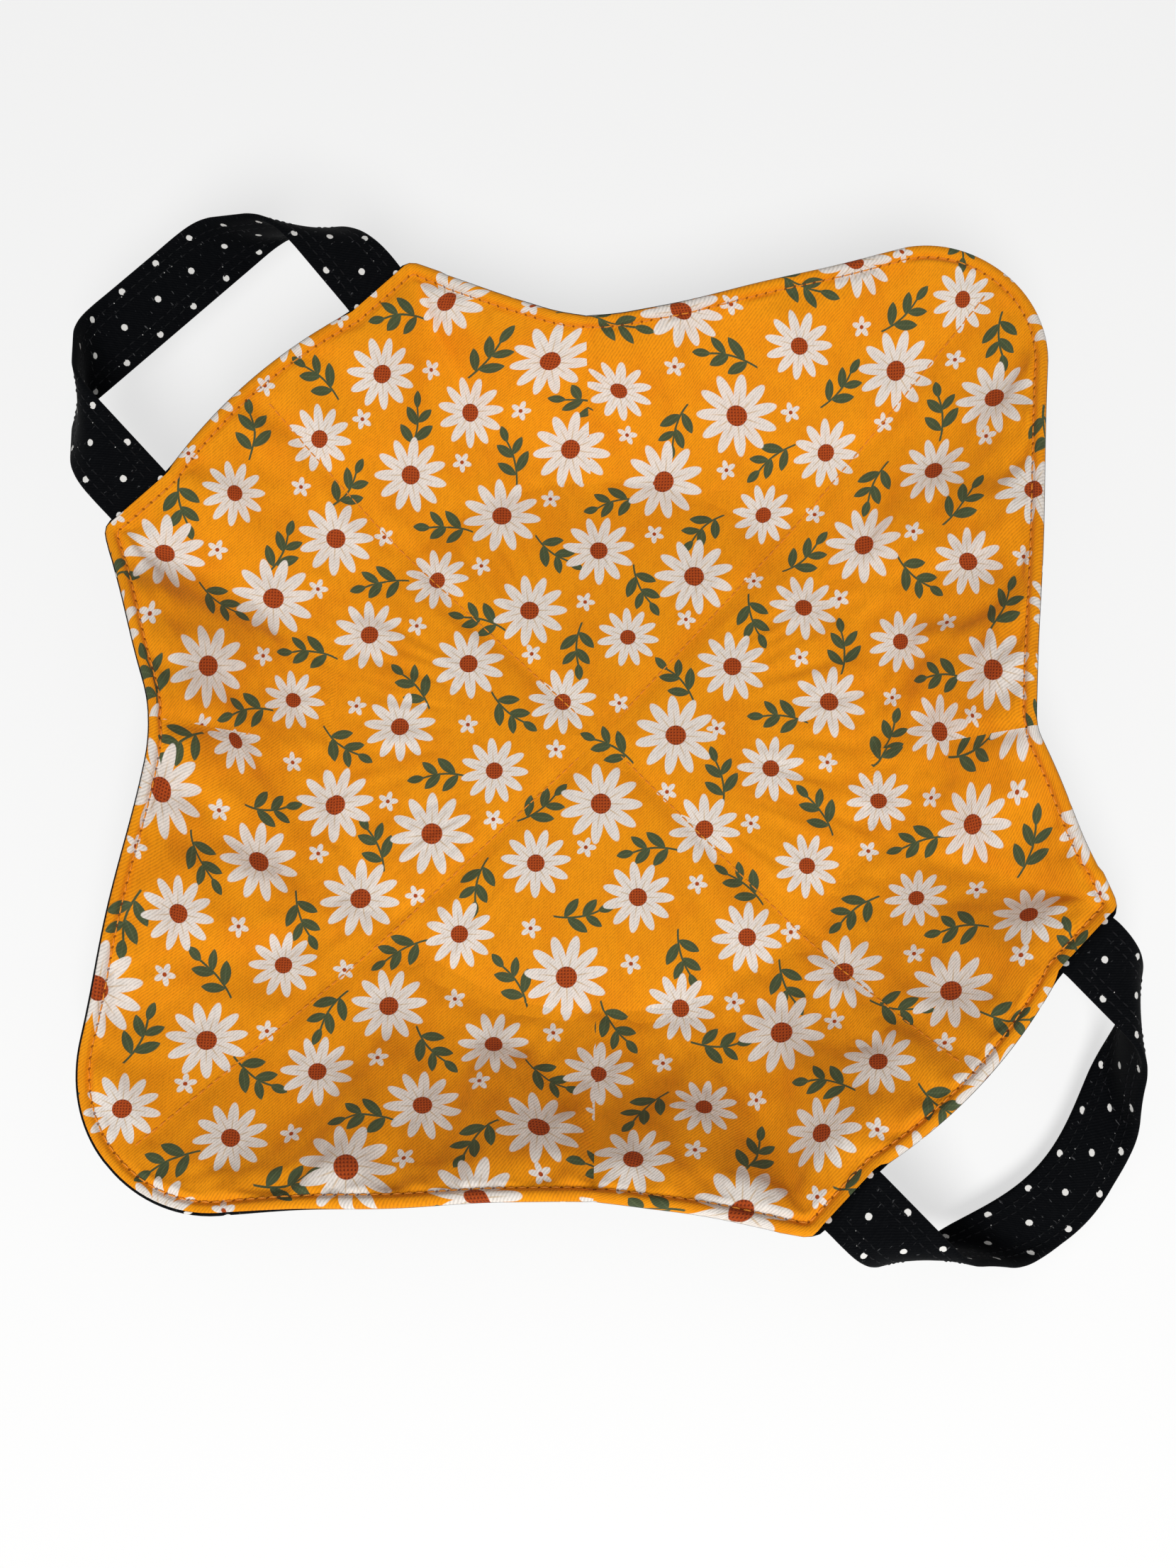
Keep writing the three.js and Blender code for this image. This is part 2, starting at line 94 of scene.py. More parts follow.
camera_data = bpy.data.cameras.new("camera")
camera_data.sensor_width = SENSOR
camera_data.lens = SENSOR * FOCAL_PIXELS / max(PHOTO_SIZE)
camera = add_object("camera", camera_data)
set_axes(camera, picture_right, picture_up, backwards, standpoint * MM)
bpy.context.scene.camera = camera
print("lens", round(camera_data.lens, 2), "mm")

# %% [markdown]
# ## From arrays to meshes
# Every surface below is a grid of points. Small helpers turn such a grid into faces and into a Blender
# mesh, so that no loop has to visit the vertices one by one. The UV map holds the cloth's own flat
# millimetres, so a print keeps its scale wherever the cloth bends.

# %% Mesh helpers
def grid_faces(rows, columns):
    """Quads of a grid that closes round its columns: a corner, the next row, its next column, and back."""
    row, column = np.meshgrid(np.arange(rows - 1), np.arange(columns), indexing="ij")
    right = (column + 1) % columns
    here, below = row * columns, (row + 1) * columns
    corners = [here + column, below + column, below + right, here + right]
    return np.stack(corners, axis=-1).reshape(-1, 4)


def add_mesh(name, points, face_sets, uv_maps=None):
    """Put points in millimetres and sets of faces into a smooth mesh object, with its UV maps."""
    faces = [face for face_set in face_sets for face in np.asarray(face_set).tolist()]
    mesh = bpy.data.meshes.new(name)
    mesh.from_pydata((np.asarray(points) * MM).tolist(), [], faces)
    for map_name, uv_sets in (uv_maps or {}).items():
        corner_uv = np.concatenate([np.asarray(uv, float).reshape(-1, 2) for uv in uv_sets])
        mesh.uv_layers.new(name=map_name).data.foreach_set("uv", corner_uv.astype(np.float32).ravel())
    mesh.polygons.foreach_set("use_smooth", np.ones(len(mesh.polygons), bool))
    mesh.update()
    return add_object(name, mesh)


def unit(vectors):
    """Vectors scaled to a length of 1."""
    return vectors / np.linalg.norm(vectors, axis=-1, keepdims=True)


def lengths_along(points):
    """Distance of each point of a polyline from its first one, along the line."""
    return np.r_[0, np.cumsum(np.linalg.norm(np.diff(points, axis=0), axis=1))]


def read_along(at, lengths, values):
    """Points or normals of a polyline at given lengths along it."""
    return np.stack([np.interp(at, lengths, values[:, axis]) for axis in range(3)], axis=-1)


def smooth(low, high, value):
    """Smooth step: 0 below low, 1 above high, and the curve 3t^2 - 2t^3 between them."""
    t = np.clip((np.asarray(value, float) - low) / (high - low), 0, 1)
    return t * t * (3 - 2 * t)


def dip(distance, width):
    """Bell curve: 1 on the line and close to 0 beyond twice the width."""
    return np.exp(-((np.asarray(distance, float) / width) ** 2))

# %% [markdown]
# ## The carrier's outline
# Seen from above, the rim is a four-cornered star with soft arms. One eighth runs from the middle of a handle
# edge to a dart, the next from that dart to the tip of a rounded corner. The soft cloth doesn't lie quite
# evenly, so each dart and corner has its own place. Every eighth gets the same number of columns, so that one
# column falls exactly on each dart and on each quilting line. A sewn edge is never quite straight, so a few
# soft waves of half a millimetre are added.

# %% Sizes shared with the construction model
FABRIC = 0.6
GAP = 0.3
BATTING = 2.2
FLOOR_RADIUS = 100
RISE_POWER = 1.45
ROOT_REACH = 169.5
EDGE_BULGE = 5.5
BEND_EASE = 3.5
NOTCH_REACH = {"right": (146.5, 161), "left": (143, 152)}
NOTCH_TURN = {"right": (-3, 1), "left": (-2.5, 1.5)}
CORNER_REACH = 219
CORNER_RADIUS = (42, 47)
CORNER_TURN = 51.5
CORNER_LEAN = (3, 1)
ROOT_Z = 47
NOTCH_Z = 49
CORNER_Z = (49, 46)
STITCH_INSET = 4
BATTING_INSET = 9
FULL_INSET = 16
STRAP_WIDTH = 25.4
STRAP_CENTRE = 57
HANDLE_SHIFT = {"left": -4, "right": -2}
STRAP_HALF = 1.0
SLOT_ROOM = 0.5
SLOT_EASE = 4
EDGE_HALF = STRAP_HALF + GAP + FABRIC
PAD_HALF = GAP / 2 + BATTING + GAP + FABRIC
SQRT2 = math.sqrt(2)

# %% Rim outline
EIGHTH = 60  # columns in one eighth of the rim
COLUMNS = 8 * EIGHTH
EDGE_POINTS = 80  # on a handle edge, and below on its bend and on a corner's arc
BEND_POINTS = 12
ARC_POINTS = 40
DART_SOFT = (2, 7, 6, 6)  # columns of soft curve beside each dart, anticlockwise from +X
EDGE_WAVES = np.arange(10, 24, 2)
EDGE_SWAY = 0.45
HEIGHT_WAVES = np.arange(9, 21, 2)
HEIGHT_SWAY = 0.7
SEWN_DEPTH = 12  # how far in from a strap the edge doesn't sway
SEED = 7


def dart_tip(side, corner):
    """Where a dart meets the rim, as if in the first quarter: its reach, turned a little off the diagonal."""
    turn = math.pi / 4 + math.radians(NOTCH_TURN[side][corner])
    out = NOTCH_REACH[side][corner]
    return np.array([out * math.cos(turn), out * math.sin(turn), NOTCH_Z])


def handle_stretch(dart, shift):
    """Handle edge to dart: a parabola between straps, a straight seam, a soft bend and a straight edge."""
    inner = STRAP_CENTRE - STRAP_WIDTH / 2
    outer = STRAP_CENTRE + STRAP_WIDTH / 2 + SLOT_ROOM
    y = np.linspace(0, outer, EDGE_POINTS)
    x = ROOT_REACH + EDGE_BULGE * (1 - np.minimum(1, y / inner) ** 2)
    edge = np.stack([x, y + shift, np.full_like(y, ROOT_Z)], axis=1)
    corner = np.array([ROOT_REACH, outer + shift + BEND_EASE, ROOT_Z])
    leave = corner + BEND_EASE * (dart - corner) / np.linalg.norm(dart - corner)
    t = np.linspace(0, 1, BEND_POINTS)[:, None]
    bend = (1 - t) ** 2 * edge[-1] + 2 * t * (1 - t) * corner + t**2 * leave
    return np.concatenate([edge, bend[1:], [dart]])


def corner_stretch(dart, corner, lean):
    """Dart to corner tip: a straight edge, then an arc whose centre leans off the Y axis."""
    lean = math.radians(lean)
    radius = CORNER_RADIUS[corner]
    middle = (CORNER_REACH - radius) * np.array([-math.sin(lean), math.cos(lean)])
    angle = math.radians(CORNER_TURN) * np.linspace(1, 0, ARC_POINTS) - lean
    x = middle[0] + radius * np.sin(angle)
    y = middle[1] + radius * np.cos(angle)
    return np.concatenate([[dart], np.stack([x, y, np.full_like(x, CORNER_Z[corner])], axis=1)])


def spread(points, count):
    """Points spread evenly by length along a polyline, without its far end."""
    lengths = lengths_along(points)
    return read_along(np.linspace(0, lengths[-1], count, endpoint=False), lengths, points)


def rim_loop():
    """The whole rim, anticlockwise from +X: each half has two eighths up to a corner's tip and two after."""
    stretches = []
    for corner, turn in ((0, 1), (1, -1)):
        half_turn = np.array([turn, turn, 1])
        mirror = np.array([-turn, turn, 1])
        lean = CORNER_LEAN[corner] * turn
        before, after = [dart_tip(side, corner) for side in ("right", "left")[::turn]]
        shift_before, shift_after = [HANDLE_SHIFT[side] * turn for side in ("right", "left")[::turn]]
        stretches += [
            handle_stretch(before, shift_before) * half_turn,
            corner_stretch(before, corner, lean) * half_turn,
            corner_stretch(after, corner, -lean)[::-1] * mirror,
            handle_stretch(after, shift_after)[::-1] * mirror,
        ]
    return np.concatenate([spread(stretch, EIGHTH) for stretch in stretches])


def soften_darts(loop):
    """Round off the notch at each dart by a quadratic curve that starts and ends a few columns from it."""
    for dart, reach_columns in zip(range(EIGHTH, COLUMNS, 2 * EIGHTH), DART_SOFT):
        t = np.linspace(0, 1, 2 * reach_columns + 1)[:, None]
        first, last = dart - reach_columns, dart + reach_columns
        loop[first:last + 1] = (1 - t) ** 2 * loop[first] + 2 * t * (1 - t) * loop[dart] + t**2 * loop[last]


def sway(loop, waves, size):
    """Soft seeded waves round the rim: sines, lower as they get shorter, and none at straps and darts."""
    turn = np.arange(COLUMNS) * 2 * np.pi / COLUMNS
    phase = rng.uniform(0, 2 * np.pi, len(waves))
    wave = (np.sin(turn[:, None] * waves + phase) * (waves[0] / waves)).sum(axis=1)
    wave *= size / wave.std()
    sewn = np.abs(loop[:, 1]) < STRAP_CENTRE + STRAP_WIDTH
    return wave * np.abs(np.sin(4 * turn)) ** 0.5 * ~(sewn & (np.abs(loop[:, 0]) > ROOT_REACH - SEWN_DEPTH))


rng = np.random.default_rng(SEED)
rim = rim_loop()
soften_darts(rim)
rim[:, :2] *= 1 + (sway(rim, EDGE_WAVES, EDGE_SWAY) / np.hypot(rim[:, 0], rim[:, 1]))[:, None]
rim[:, 2] += sway(rim, HEIGHT_WAVES, HEIGHT_SWAY)
reach = np.hypot(rim[:, 0], rim[:, 1])
ray = rim[:, :2] / reach[:, None]
heading = unit(np.roll(rim, -1, axis=0)[:, :2] - np.roll(rim, 1, axis=0)[:, :2])
facing = ray[:, 0] * heading[:, 1] - ray[:, 1] * heading[:, 0]
rim_slope = RISE_POWER * (rim[:, 2] - PAD_HALF) / (reach - FLOOR_RADIUS) / facing
inset_step = 1 / (facing * np.hypot(1, rim_slope))  # plan distance for one millimetre in from the edge
column_angle = np.arctan2(rim[:, 1], rim[:, 0])
print("rim of", COLUMNS, "columns,", round(lengths_along(rim)[-1]), "mm round")

# %% [markdown]
# ## The padded bowl
# The bowl's middle surface is flat inside a circle and bends up to the rim outside it, by a power of the
# share of the way. Lining and outer lie on both sides of it, as far apart as the padding is thick: thin at
# the turned edge, thinner still in the ditch of the topstitching, full further in, and pulled down again
# along the quilting lines and the darts. The seam between them rolls up or down round the tip of the lip,
# so that the outer shows from above as a thin dark edge on some sides and not on others.

# %% Middle surface on a polar grid
FLOOR_ROWS = 24
WALL_ROWS = 40
CENTRE_RADIUS = 2.0
EDGE_INSETS = np.r_[
    np.linspace(FULL_INSET, 8, 10)[1:], np.linspace(7.2, 4.6, 6), 4.3, 4.0, 3.7, 3.3,
    np.linspace(2.9, 0.5, 9), 0.3, 0.15, 0.04, 0.0,
]


def pad_radii():
    """Radii of all rows: even steps over the floor, even shares of the wall, then chosen insets."""
    floor = np.linspace(CENTRE_RADIUS, FLOOR_RADIUS, FLOOR_ROWS, endpoint=False)
    full = reach - FULL_INSET * inset_step
    share = np.linspace(0, 1, WALL_ROWS)[:, None]
    wall = FLOOR_RADIUS + share * (full - FLOOR_RADIUS)
    edge = reach - EDGE_INSETS[:, None] * inset_step
    return np.concatenate([np.repeat(floor[:, None], COLUMNS, axis=1), wall, edge])


def middle_surface(radius):
    """Points of the bowl: height is the rim's, times the share of the way out raised to a power."""
    out = np.maximum(0, (radius - FLOOR_RADIUS) / (reach - FLOOR_RADIUS))
    height = PAD_HALF + (rim[:, 2] - PAD_HALF) * out**RISE_POWER
    return np.stack([radius * ray[:, 0], radius * ray[:, 1], height], axis=-1)


def grid_normals(points):
    """Unit normals of a grid that closes on itself round its columns, pointing into the bowl."""
    outwards = np.gradient(points, axis=0)
    round_it = np.roll(points, -1, axis=1) - np.roll(points, 1, axis=1)
    return unit(np.cross(outwards, round_it))


pad_radius = pad_radii()
pad_inset = (reach - pad_radius) / inset_step
pad_middle = middle_surface(pad_radius)
pad_normal = grid_normals(pad_middle)
ROWS = len(pad_radius)
print("pad grid", pad_middle.shape)

# %% Thickness of the padding
DITCH = 0.55  # depth of the topstitched line
DITCH_WIDTH = 1.1
DITCH_FILLED = 0.6  # share of the ditch that a strap in the seam fills
LIP_SWELL = 0.15  # the turned edge puffs up beside the ditch
LIP_SWELL_INSET = 2.2
LIP_SWELL_WIDTH = 1.0
SWELL_END = 15  # inset at which the padding has its full thickness
CROWN = 0.5  # the padding stands proud between stitched lines
QUILT_DEPTH = 1.3
QUILT_WIDTH = 4.5
DART_DEPTH = 1.5
DART_WIDTH = 2.2
DART_FADE = (1.0, 5.0)  # insets between which a dart's dip grows to its depth
LIP_GAP = 0.05  # between the two turned edges
SEAM_SHOWN = {  # width of the outer that shows from above, by direction in degrees
    0: 0.2, 45: 0.3, 90: 0.3, 115: 0.4, 135: 0.9, 155: 0.4,
    180: 0.5, 225: 0.6, 262: 1.1, 279: 1.1, 288: 0, 345: 0,
}


def strap_mouth():
    """1 where a strap goes into the seam, 0 elsewhere, with a short ease on both sides."""
    shift = np.where(rim[:, 0] > 0, HANDLE_SHIFT["right"], HANDLE_SHIFT["left"])
    beside = np.abs(np.abs(rim[:, 1] - shift) - STRAP_CENTRE) - STRAP_WIDTH / 2 - SLOT_ROOM
    return (1 - smooth(0, SLOT_EASE, beside)) * (np.abs(rim[:, 0]) > ROOT_REACH - 1)


def angle_to(directions):
    """Smallest angle between each column and any of the given directions."""
    apart = column_angle[:, None] - np.radians(directions)
    return np.abs(np.arctan2(np.sin(apart), np.cos(apart))).min(axis=1)


quilt_columns = np.arange(0, COLUMNS, 2 * EIGHTH)
quilt_angles = np.degrees(column_angle[quilt_columns])
quilt_distance = pad_radius * np.sin(np.minimum(angle_to(quilt_angles), np.pi / 2))
dart_angles = np.degrees(column_angle[quilt_columns + EIGHTH])
dart_distance = pad_radius * np.sin(np.minimum(angle_to(dart_angles), np.pi / 2))
dart_share = np.clip((pad_radius - FLOOR_RADIUS) / (reach - FLOOR_RADIUS), 0, 1)


def lip_angle(side):
    """Angle round the lip: the seam's at the tip, from the width shown and the slope, up to 90 degrees."""
    even = np.arccos(1 - np.clip(pad_inset / EDGE_HALF, 0, 1))
    shown = np.interp(np.degrees(column_angle), list(SEAM_SHOWN), list(SEAM_SHOWN.values()), period=360)
    roll = np.arccos(1 - shown / EDGE_HALF) - np.arctan(rim_slope)
    seam = side * roll * (1 - strap_mouth())
    return seam + (1 - seam / (np.pi / 2)) * even


def half_thickness(side):
    """Rise from the edge to full, less the ditch, quilting and dart dips, with a round lip at the rim."""
    body = EDGE_HALF + (PAD_HALF + CROWN - EDGE_HALF) * smooth(STITCH_INSET - 1, SWELL_END, pad_inset)
    body -= DITCH * dip(pad_inset - STITCH_INSET, DITCH_WIDTH) * (1 - DITCH_FILLED * strap_mouth())
    body += LIP_SWELL * dip(pad_inset - LIP_SWELL_INSET, LIP_SWELL_WIDTH)
    fade = smooth(STITCH_INSET + 1, FULL_INSET, pad_inset)
    body -= (QUILT_DEPTH + CROWN) * dip(quilt_distance, QUILT_WIDTH) * fade
    body -= DART_DEPTH * dart_share * dip(dart_distance, DART_WIDTH) * smooth(*DART_FADE, pad_inset)
    round_over = np.sin(lip_angle(side))
    closed = LIP_GAP + (body - LIP_GAP) * round_over
    opened = body - (FABRIC / 2) * (1 - round_over)
    return closed + (opened - closed) * strap_mouth()


def pad_face(side):
    """One face of the pad: the middle surface, moved along its normal by that side's half thickness."""
    round_lip = EDGE_HALF * (1 - np.cos(lip_angle(side)))
    inset = np.where(pad_inset < EDGE_HALF, round_lip, pad_inset)
    return middle_surface(reach - inset * inset_step) + pad_normal * (side * half_thickness(side)[..., None])


lining_smooth = pad_face(1)
outer_smooth = pad_face(-1)
print("padding up to", (2 * half_thickness(1)).max().round(2), "mm thick")

# %% [markdown]
# ## Puckers
# A stitched line holds the cotton down while the cotton between the lines is a little too long for its bed,
# so it buckles into soft puckers that run out of the stitching. Painting such folds by hand looks drawn, so
# Blender's cloth solver makes them: the sheet is asked to grow by a few percent, the stitched rows and
# columns are pinned, and a weak hold elsewhere stands for the batting that pulls the cotton back. A stiff
# sheet gives the broad folds and a limp one the small crumples. Both results are read back as heights over
# the smooth sheet and added. The folds are softly capped, and they sink less than they rise, because the
# batting below pushes back.

# %% Let the cloth solver pucker the lining
SOLVER_SCALE = 10  # the solver behaves better on an object some metres wide
FOLDS = {"step": 3, "growth": 0.024, "bending": 8.0, "hold": 0.22}
CRUMPLES = {"step": 2, "growth": 0.014, "bending": 1.0, "hold": 0.3}
CLOTH = {
    "quality": 8, "mass": 0.2, "air_damping": 2, "pin_stiffness": 1.0,
    "tension_stiffness": 40, "compression_stiffness": 40, "shear_stiffness": 15,
}
FLOOR_HOLD = 0.7
PUCKER_FRAMES = 30
RISE_CAP = 2.4  # most that a fold stands above the smooth sheet, and below, most that it sinks
SINK_CAP = 1.2
START_WOBBLE = 0.1
SMOOTHINGS = 4
FIRST_SOLVED = 14  # innermost row of the solved sheet
LAST_SOLVED = np.array([12, 7, 3, 0])  # its outermost rows, counted in from the stitched one
WALL_END = FLOOR_ROWS + WALL_ROWS
STITCH_ROW = WALL_END + int(np.flatnonzero(EDGE_INSETS == STITCH_INSET)[0])


def pucker_hold(rows, columns, batting_hold):
    """How firmly each point is held: 1 on stitched lines and darts, weakly on batting, more on the floor."""
    radius = pad_radius[np.ix_(rows, columns)]
    hold = np.where(radius < FLOOR_RADIUS, FLOOR_HOLD, batting_hold)
    hold[rows == STITCH_ROW] = 1
    hold[:, columns % (2 * EIGHTH) == 0] = 1
    hold[(radius > FLOOR_RADIUS) & (columns % (2 * EIGHTH) == EIGHTH)] = 1
    hold[0] = 1
    return hold.ravel()


def solved_sheet(sheet, hold, growth, bending):
    """Points of a sheet in millimetres after the solver has let it grow, with its held points kept."""
    trial = add_mesh("pucker_trial", sheet.reshape(-1, 3) * SOLVER_SCALE, [grid_faces(*sheet.shape[:2])])
    group = trial.vertex_groups.new(name="hold")
    for level in np.unique(hold):
        group.add(np.flatnonzero(hold == level).tolist(), float(level), "REPLACE")
    cloth = trial.modifiers.new("cloth", "CLOTH")
    settings = cloth.settings
    for name, value in CLOTH.items():
        setattr(settings, name, value)
    settings.shrink_min = -growth
    settings.bending_stiffness = bending
    settings.vertex_group_mass = "hold"
    settings.effector_weights.gravity = 0
    cloth.collision_settings.use_collision = False
    cloth.point_cache.frame_end = PUCKER_FRAMES
    scene = bpy.context.scene
    for number in range(1, PUCKER_FRAMES + 1):
        scene.frame_set(number)
    solved = trial.evaluated_get(bpy.context.evaluated_depsgraph_get()).data
    moved = np.empty(len(solved.vertices) * 3, np.float32)
    solved.vertices.foreach_get("co", moved)
    scene.frame_set(1)
    bpy.data.objects.remove(trial)
    return moved.reshape(sheet.shape) / (SOLVER_SCALE * MM)


def over_all_rows(height, solver_rows):
    """Solved heights on the whole pad: a Fourier series round it, lines between rows, smoothed 1-2-1."""
    waves = np.fft.rfft(height, axis=1)
    fine = np.fft.irfft(waves, n=COLUMNS, axis=1) * (COLUMNS / height.shape[1])
    rows = np.arange(ROWS)
    single_rows = np.eye(len(height))
    shares = [np.interp(rows, solver_rows, single, left=0, right=0) for single in single_rows]
    fine = np.stack(shares, axis=1) @ fine
    for _ in range(SMOOTHINGS):
        fine[1:-1] = (fine[:-2] + 2 * fine[1:-1] + fine[2:]) / 4
    return fine * smooth(STITCH_INSET, STITCH_INSET + 2, pad_inset)


def solve_puckers(step, growth, bending, hold):
    """Heights over the smooth lining from one solve on every few rows and columns of its grid."""
    rows = np.r_[np.arange(FIRST_SOLVED, WALL_END, step), STITCH_ROW - LAST_SOLVED]
    columns = np.arange(0, COLUMNS, step)
    picked = np.ix_(rows, columns)
    sheet, normal = lining_smooth[picked], grid_normals(lining_smooth)[picked]
    wobble = rng.normal(0, START_WOBBLE, sheet.shape[:2])[..., None]
    moved = solved_sheet(sheet + normal * wobble, pucker_hold(rows, columns, hold), growth, bending)
    return over_all_rows(((moved - sheet) * normal).sum(axis=-1), rows)


pucker = np.zeros((ROWS, COLUMNS))
folds, crumples = (solve_puckers(**solve) for solve in (FOLDS, CRUMPLES))
cap = np.where(folds > 0, RISE_CAP, SINK_CAP)
pucker = cap * np.tanh(folds / cap) + np.maximum(crumples, -SINK_CAP)
print("puckers from", pucker.min().round(2), "to", pucker.max().round(2), "mm")

# %% [markdown]
# ## Lining and outer
# Both cotton layers are the same shell, one on each side of the padding. A row of points goes out from the
# centre over the shown face, round the lip, and back along the hidden face one cloth thickness below.
# The flat cloth that a dart swallows is missing from the print, so the UV map keeps true lengths along and
# across each quarter and jumps at the darts, as a print does at a sewn dart.

# %% Cotton shells
# rows of the hidden face, from the lip inwards, fewer than on the shown face
HIDDEN_ROWS = np.r_[ROWS - 6, ROWS - 10, ROWS - 16, ROWS - 24, np.arange(ROWS - 30, 4, -6)]
STITCH_PITCH = 3.6


def flat_cloth(face, quarter_middle):
    """Flat place of each point: distance out along the cloth, and an angle that keeps lengths round it."""
    steps = np.linalg.norm(np.diff(face, axis=0), axis=-1)
    out = pad_radius[:1] + np.concatenate([np.zeros((1, COLUMNS)), np.cumsum(steps, axis=0)])
    apart = np.arctan2(np.sin(column_angle - quarter_middle), np.cos(column_angle - quarter_middle))
    angle = quarter_middle + apart * pad_radius / out
    return np.stack([out * np.cos(angle), out * np.sin(angle)], axis=-1)


def shell_uv(face, rows):
    """UV of a shell's quads, each worked out in its own quarter so that the map is cut at the darts."""
    faces = grid_faces(len(rows), COLUMNS)
    column = np.tile(np.arange(COLUMNS), len(rows) - 1)
    quarter = ((column + EIGHTH) // (2 * EIGHTH)) % 4
    uv = np.zeros((len(faces), 4, 2))
    for number in range(4):
        flat = flat_cloth(face, number * np.pi / 2)[rows]
        uv[quarter == number] = flat.reshape(-1, 2)[faces[quarter == number]]
    return uv


def seam_uv(face, rows):
    """Second map of a shell's quads: stitches counted along the edge line, and the distance in."""
    line = np.linalg.norm(np.roll(face[STITCH_ROW], -1, axis=0) - face[STITCH_ROW], axis=1)
    count = int(line.sum() // STITCH_PITCH)
    ends = np.r_[0, np.cumsum(line)] * (count / line.sum())
    corner_column = np.tile([0, 0, 1, 1], (COLUMNS, 1)) + np.arange(COLUMNS)[:, None]
    along = np.tile(ends[corner_column], (len(rows) - 1, 1))
    inset = pad_inset[rows].reshape(-1)[grid_faces(len(rows), COLUMNS)]
    return np.stack([along, inset], axis=-1)


def closed_layer(rows):
    """Points and face sets of a layer: its rows go out over one face and back, with a fan at each middle."""
    points = np.concatenate([rows.reshape(-1, 3), [rows[0].mean(axis=0), rows[-1].mean(axis=0)]])
    ring = np.arange(COLUMNS)
    following = (ring + 1) % COLUMNS
    last = (len(rows) - 1) * COLUMNS
    first_fan = np.stack([np.full(COLUMNS, len(points) - 2), ring, following], axis=1)
    last_fan = np.stack([np.full(COLUMNS, len(points) - 1), last + following, last + ring], axis=1)
    return points, [grid_faces(len(rows), COLUMNS), first_fan, last_fan]


def turn_over(sets, side):
    """Faces or their UV, with the order of corners turned round on the outer side."""
    return sets if side > 0 else [one_set[:, ::-1] for one_set in sets]


def cotton_shell(name, side, smooth_face, height):
    """A closed shell that stays above the table: shown face out, then hidden face back."""
    normal = grid_normals(smooth_face) * side
    face = smooth_face + normal * height[..., None]
    face[..., 2] = np.maximum(face[..., 2], 0)
    normal = grid_normals(face) * side
    points, sets = closed_layer(np.concatenate([face, (face - normal * FABRIC)[HIDDEN_ROWS]]))
    row_numbers = np.r_[np.arange(ROWS), HIDDEN_ROWS]
    fan_uv = [points[fan][..., :2] for fan in sets[1:]]
    fan_seam = [np.full(uv.shape, FLOOR_RADIUS) for uv in fan_uv]
    maps = {
        "cloth": turn_over([shell_uv(smooth_face, row_numbers), *fan_uv], side),
        "seam": turn_over([seam_uv(smooth_face, row_numbers), *fan_seam], side),
    }
    return add_mesh(name, points, turn_over(sets, side), maps), face, normal


lining, lining_face, lining_normal = cotton_shell("lining", 1, lining_smooth, pucker)
outer_pucker = np.roll(pucker, COLUMNS // 2, axis=1)
outer, outer_face, outer_normal = cotton_shell("outer", -1, outer_smooth, outer_pucker)
print("lining and outer have", len(lining.data.polygons), "faces each")

# %% [markdown]
# ## Batting
# A layer of cotton batting is quilted behind each cotton, cut back from the seam so that the edge can be
# turned. Nothing of it is seen, but it fills the pad, so it is built as what it is: a soft layer between the
# cotton's hidden face and the middle of the pad.

# %% Batting layers
BATTING_ROOM = 0.8
THIN_BATTING = 0.3
# every third row of the floor, then every row up to the edge of the batting
BATTING_ROWS = np.r_[np.arange(0, FLOOR_ROWS, 3), np.arange(FLOOR_ROWS, WALL_END + 8)]


def batting_layer(name, side, face, normal):
    """A closed layer from the cotton's hidden face down to the middle surface, never thinner than a film."""
    inner = pad_middle + pad_normal * (side * GAP / 2)
    shown = face - normal * (FABRIC + BATTING_ROOM)
    thickness = ((shown - inner) * pad_normal).sum(axis=-1, keepdims=True) * side
    inner = np.where(thickness > THIN_BATTING, inner, shown - pad_normal * (side * THIN_BATTING))
    points, sets = closed_layer(np.concatenate([shown[BATTING_ROWS], inner[BATTING_ROWS[::-1]]]))
    return add_mesh(name, points, turn_over(sets, side))


lining_wadding = batting_layer("lining_wadding", 1, lining_face, lining_normal)
outer_wadding = batting_layer("outer_wadding", -1, outer_face, outer_normal)
print("batting layers of", len(lining_wadding.data.polygons), "faces")

# %% [markdown]
# ## Stitches
# A sewn line isn't a cord that lies on the cloth. Each stitch is a short bridge of thread that comes up
# through a hole, lies across and goes down again. A profile carried along the seam gives all stitches of a
# line at once: a small hexagon whose middle line sinks into the cloth at both ends. A little seeded turn
# keeps the stitches from looking stamped.

# %% Stitch maker
STITCH_LENGTH = 3.0
STITCH_RADIUS = 0.27
STITCH_LIFT = 0.55  # of its radius, at the top of a stitch
STITCH_SINK = 0.5
STITCH_TAPER = 0.2  # share of the radius that is lost at both ends
STITCH_TURN = 0.07  # radians, either way
RINGS = 7
SIDES = 6


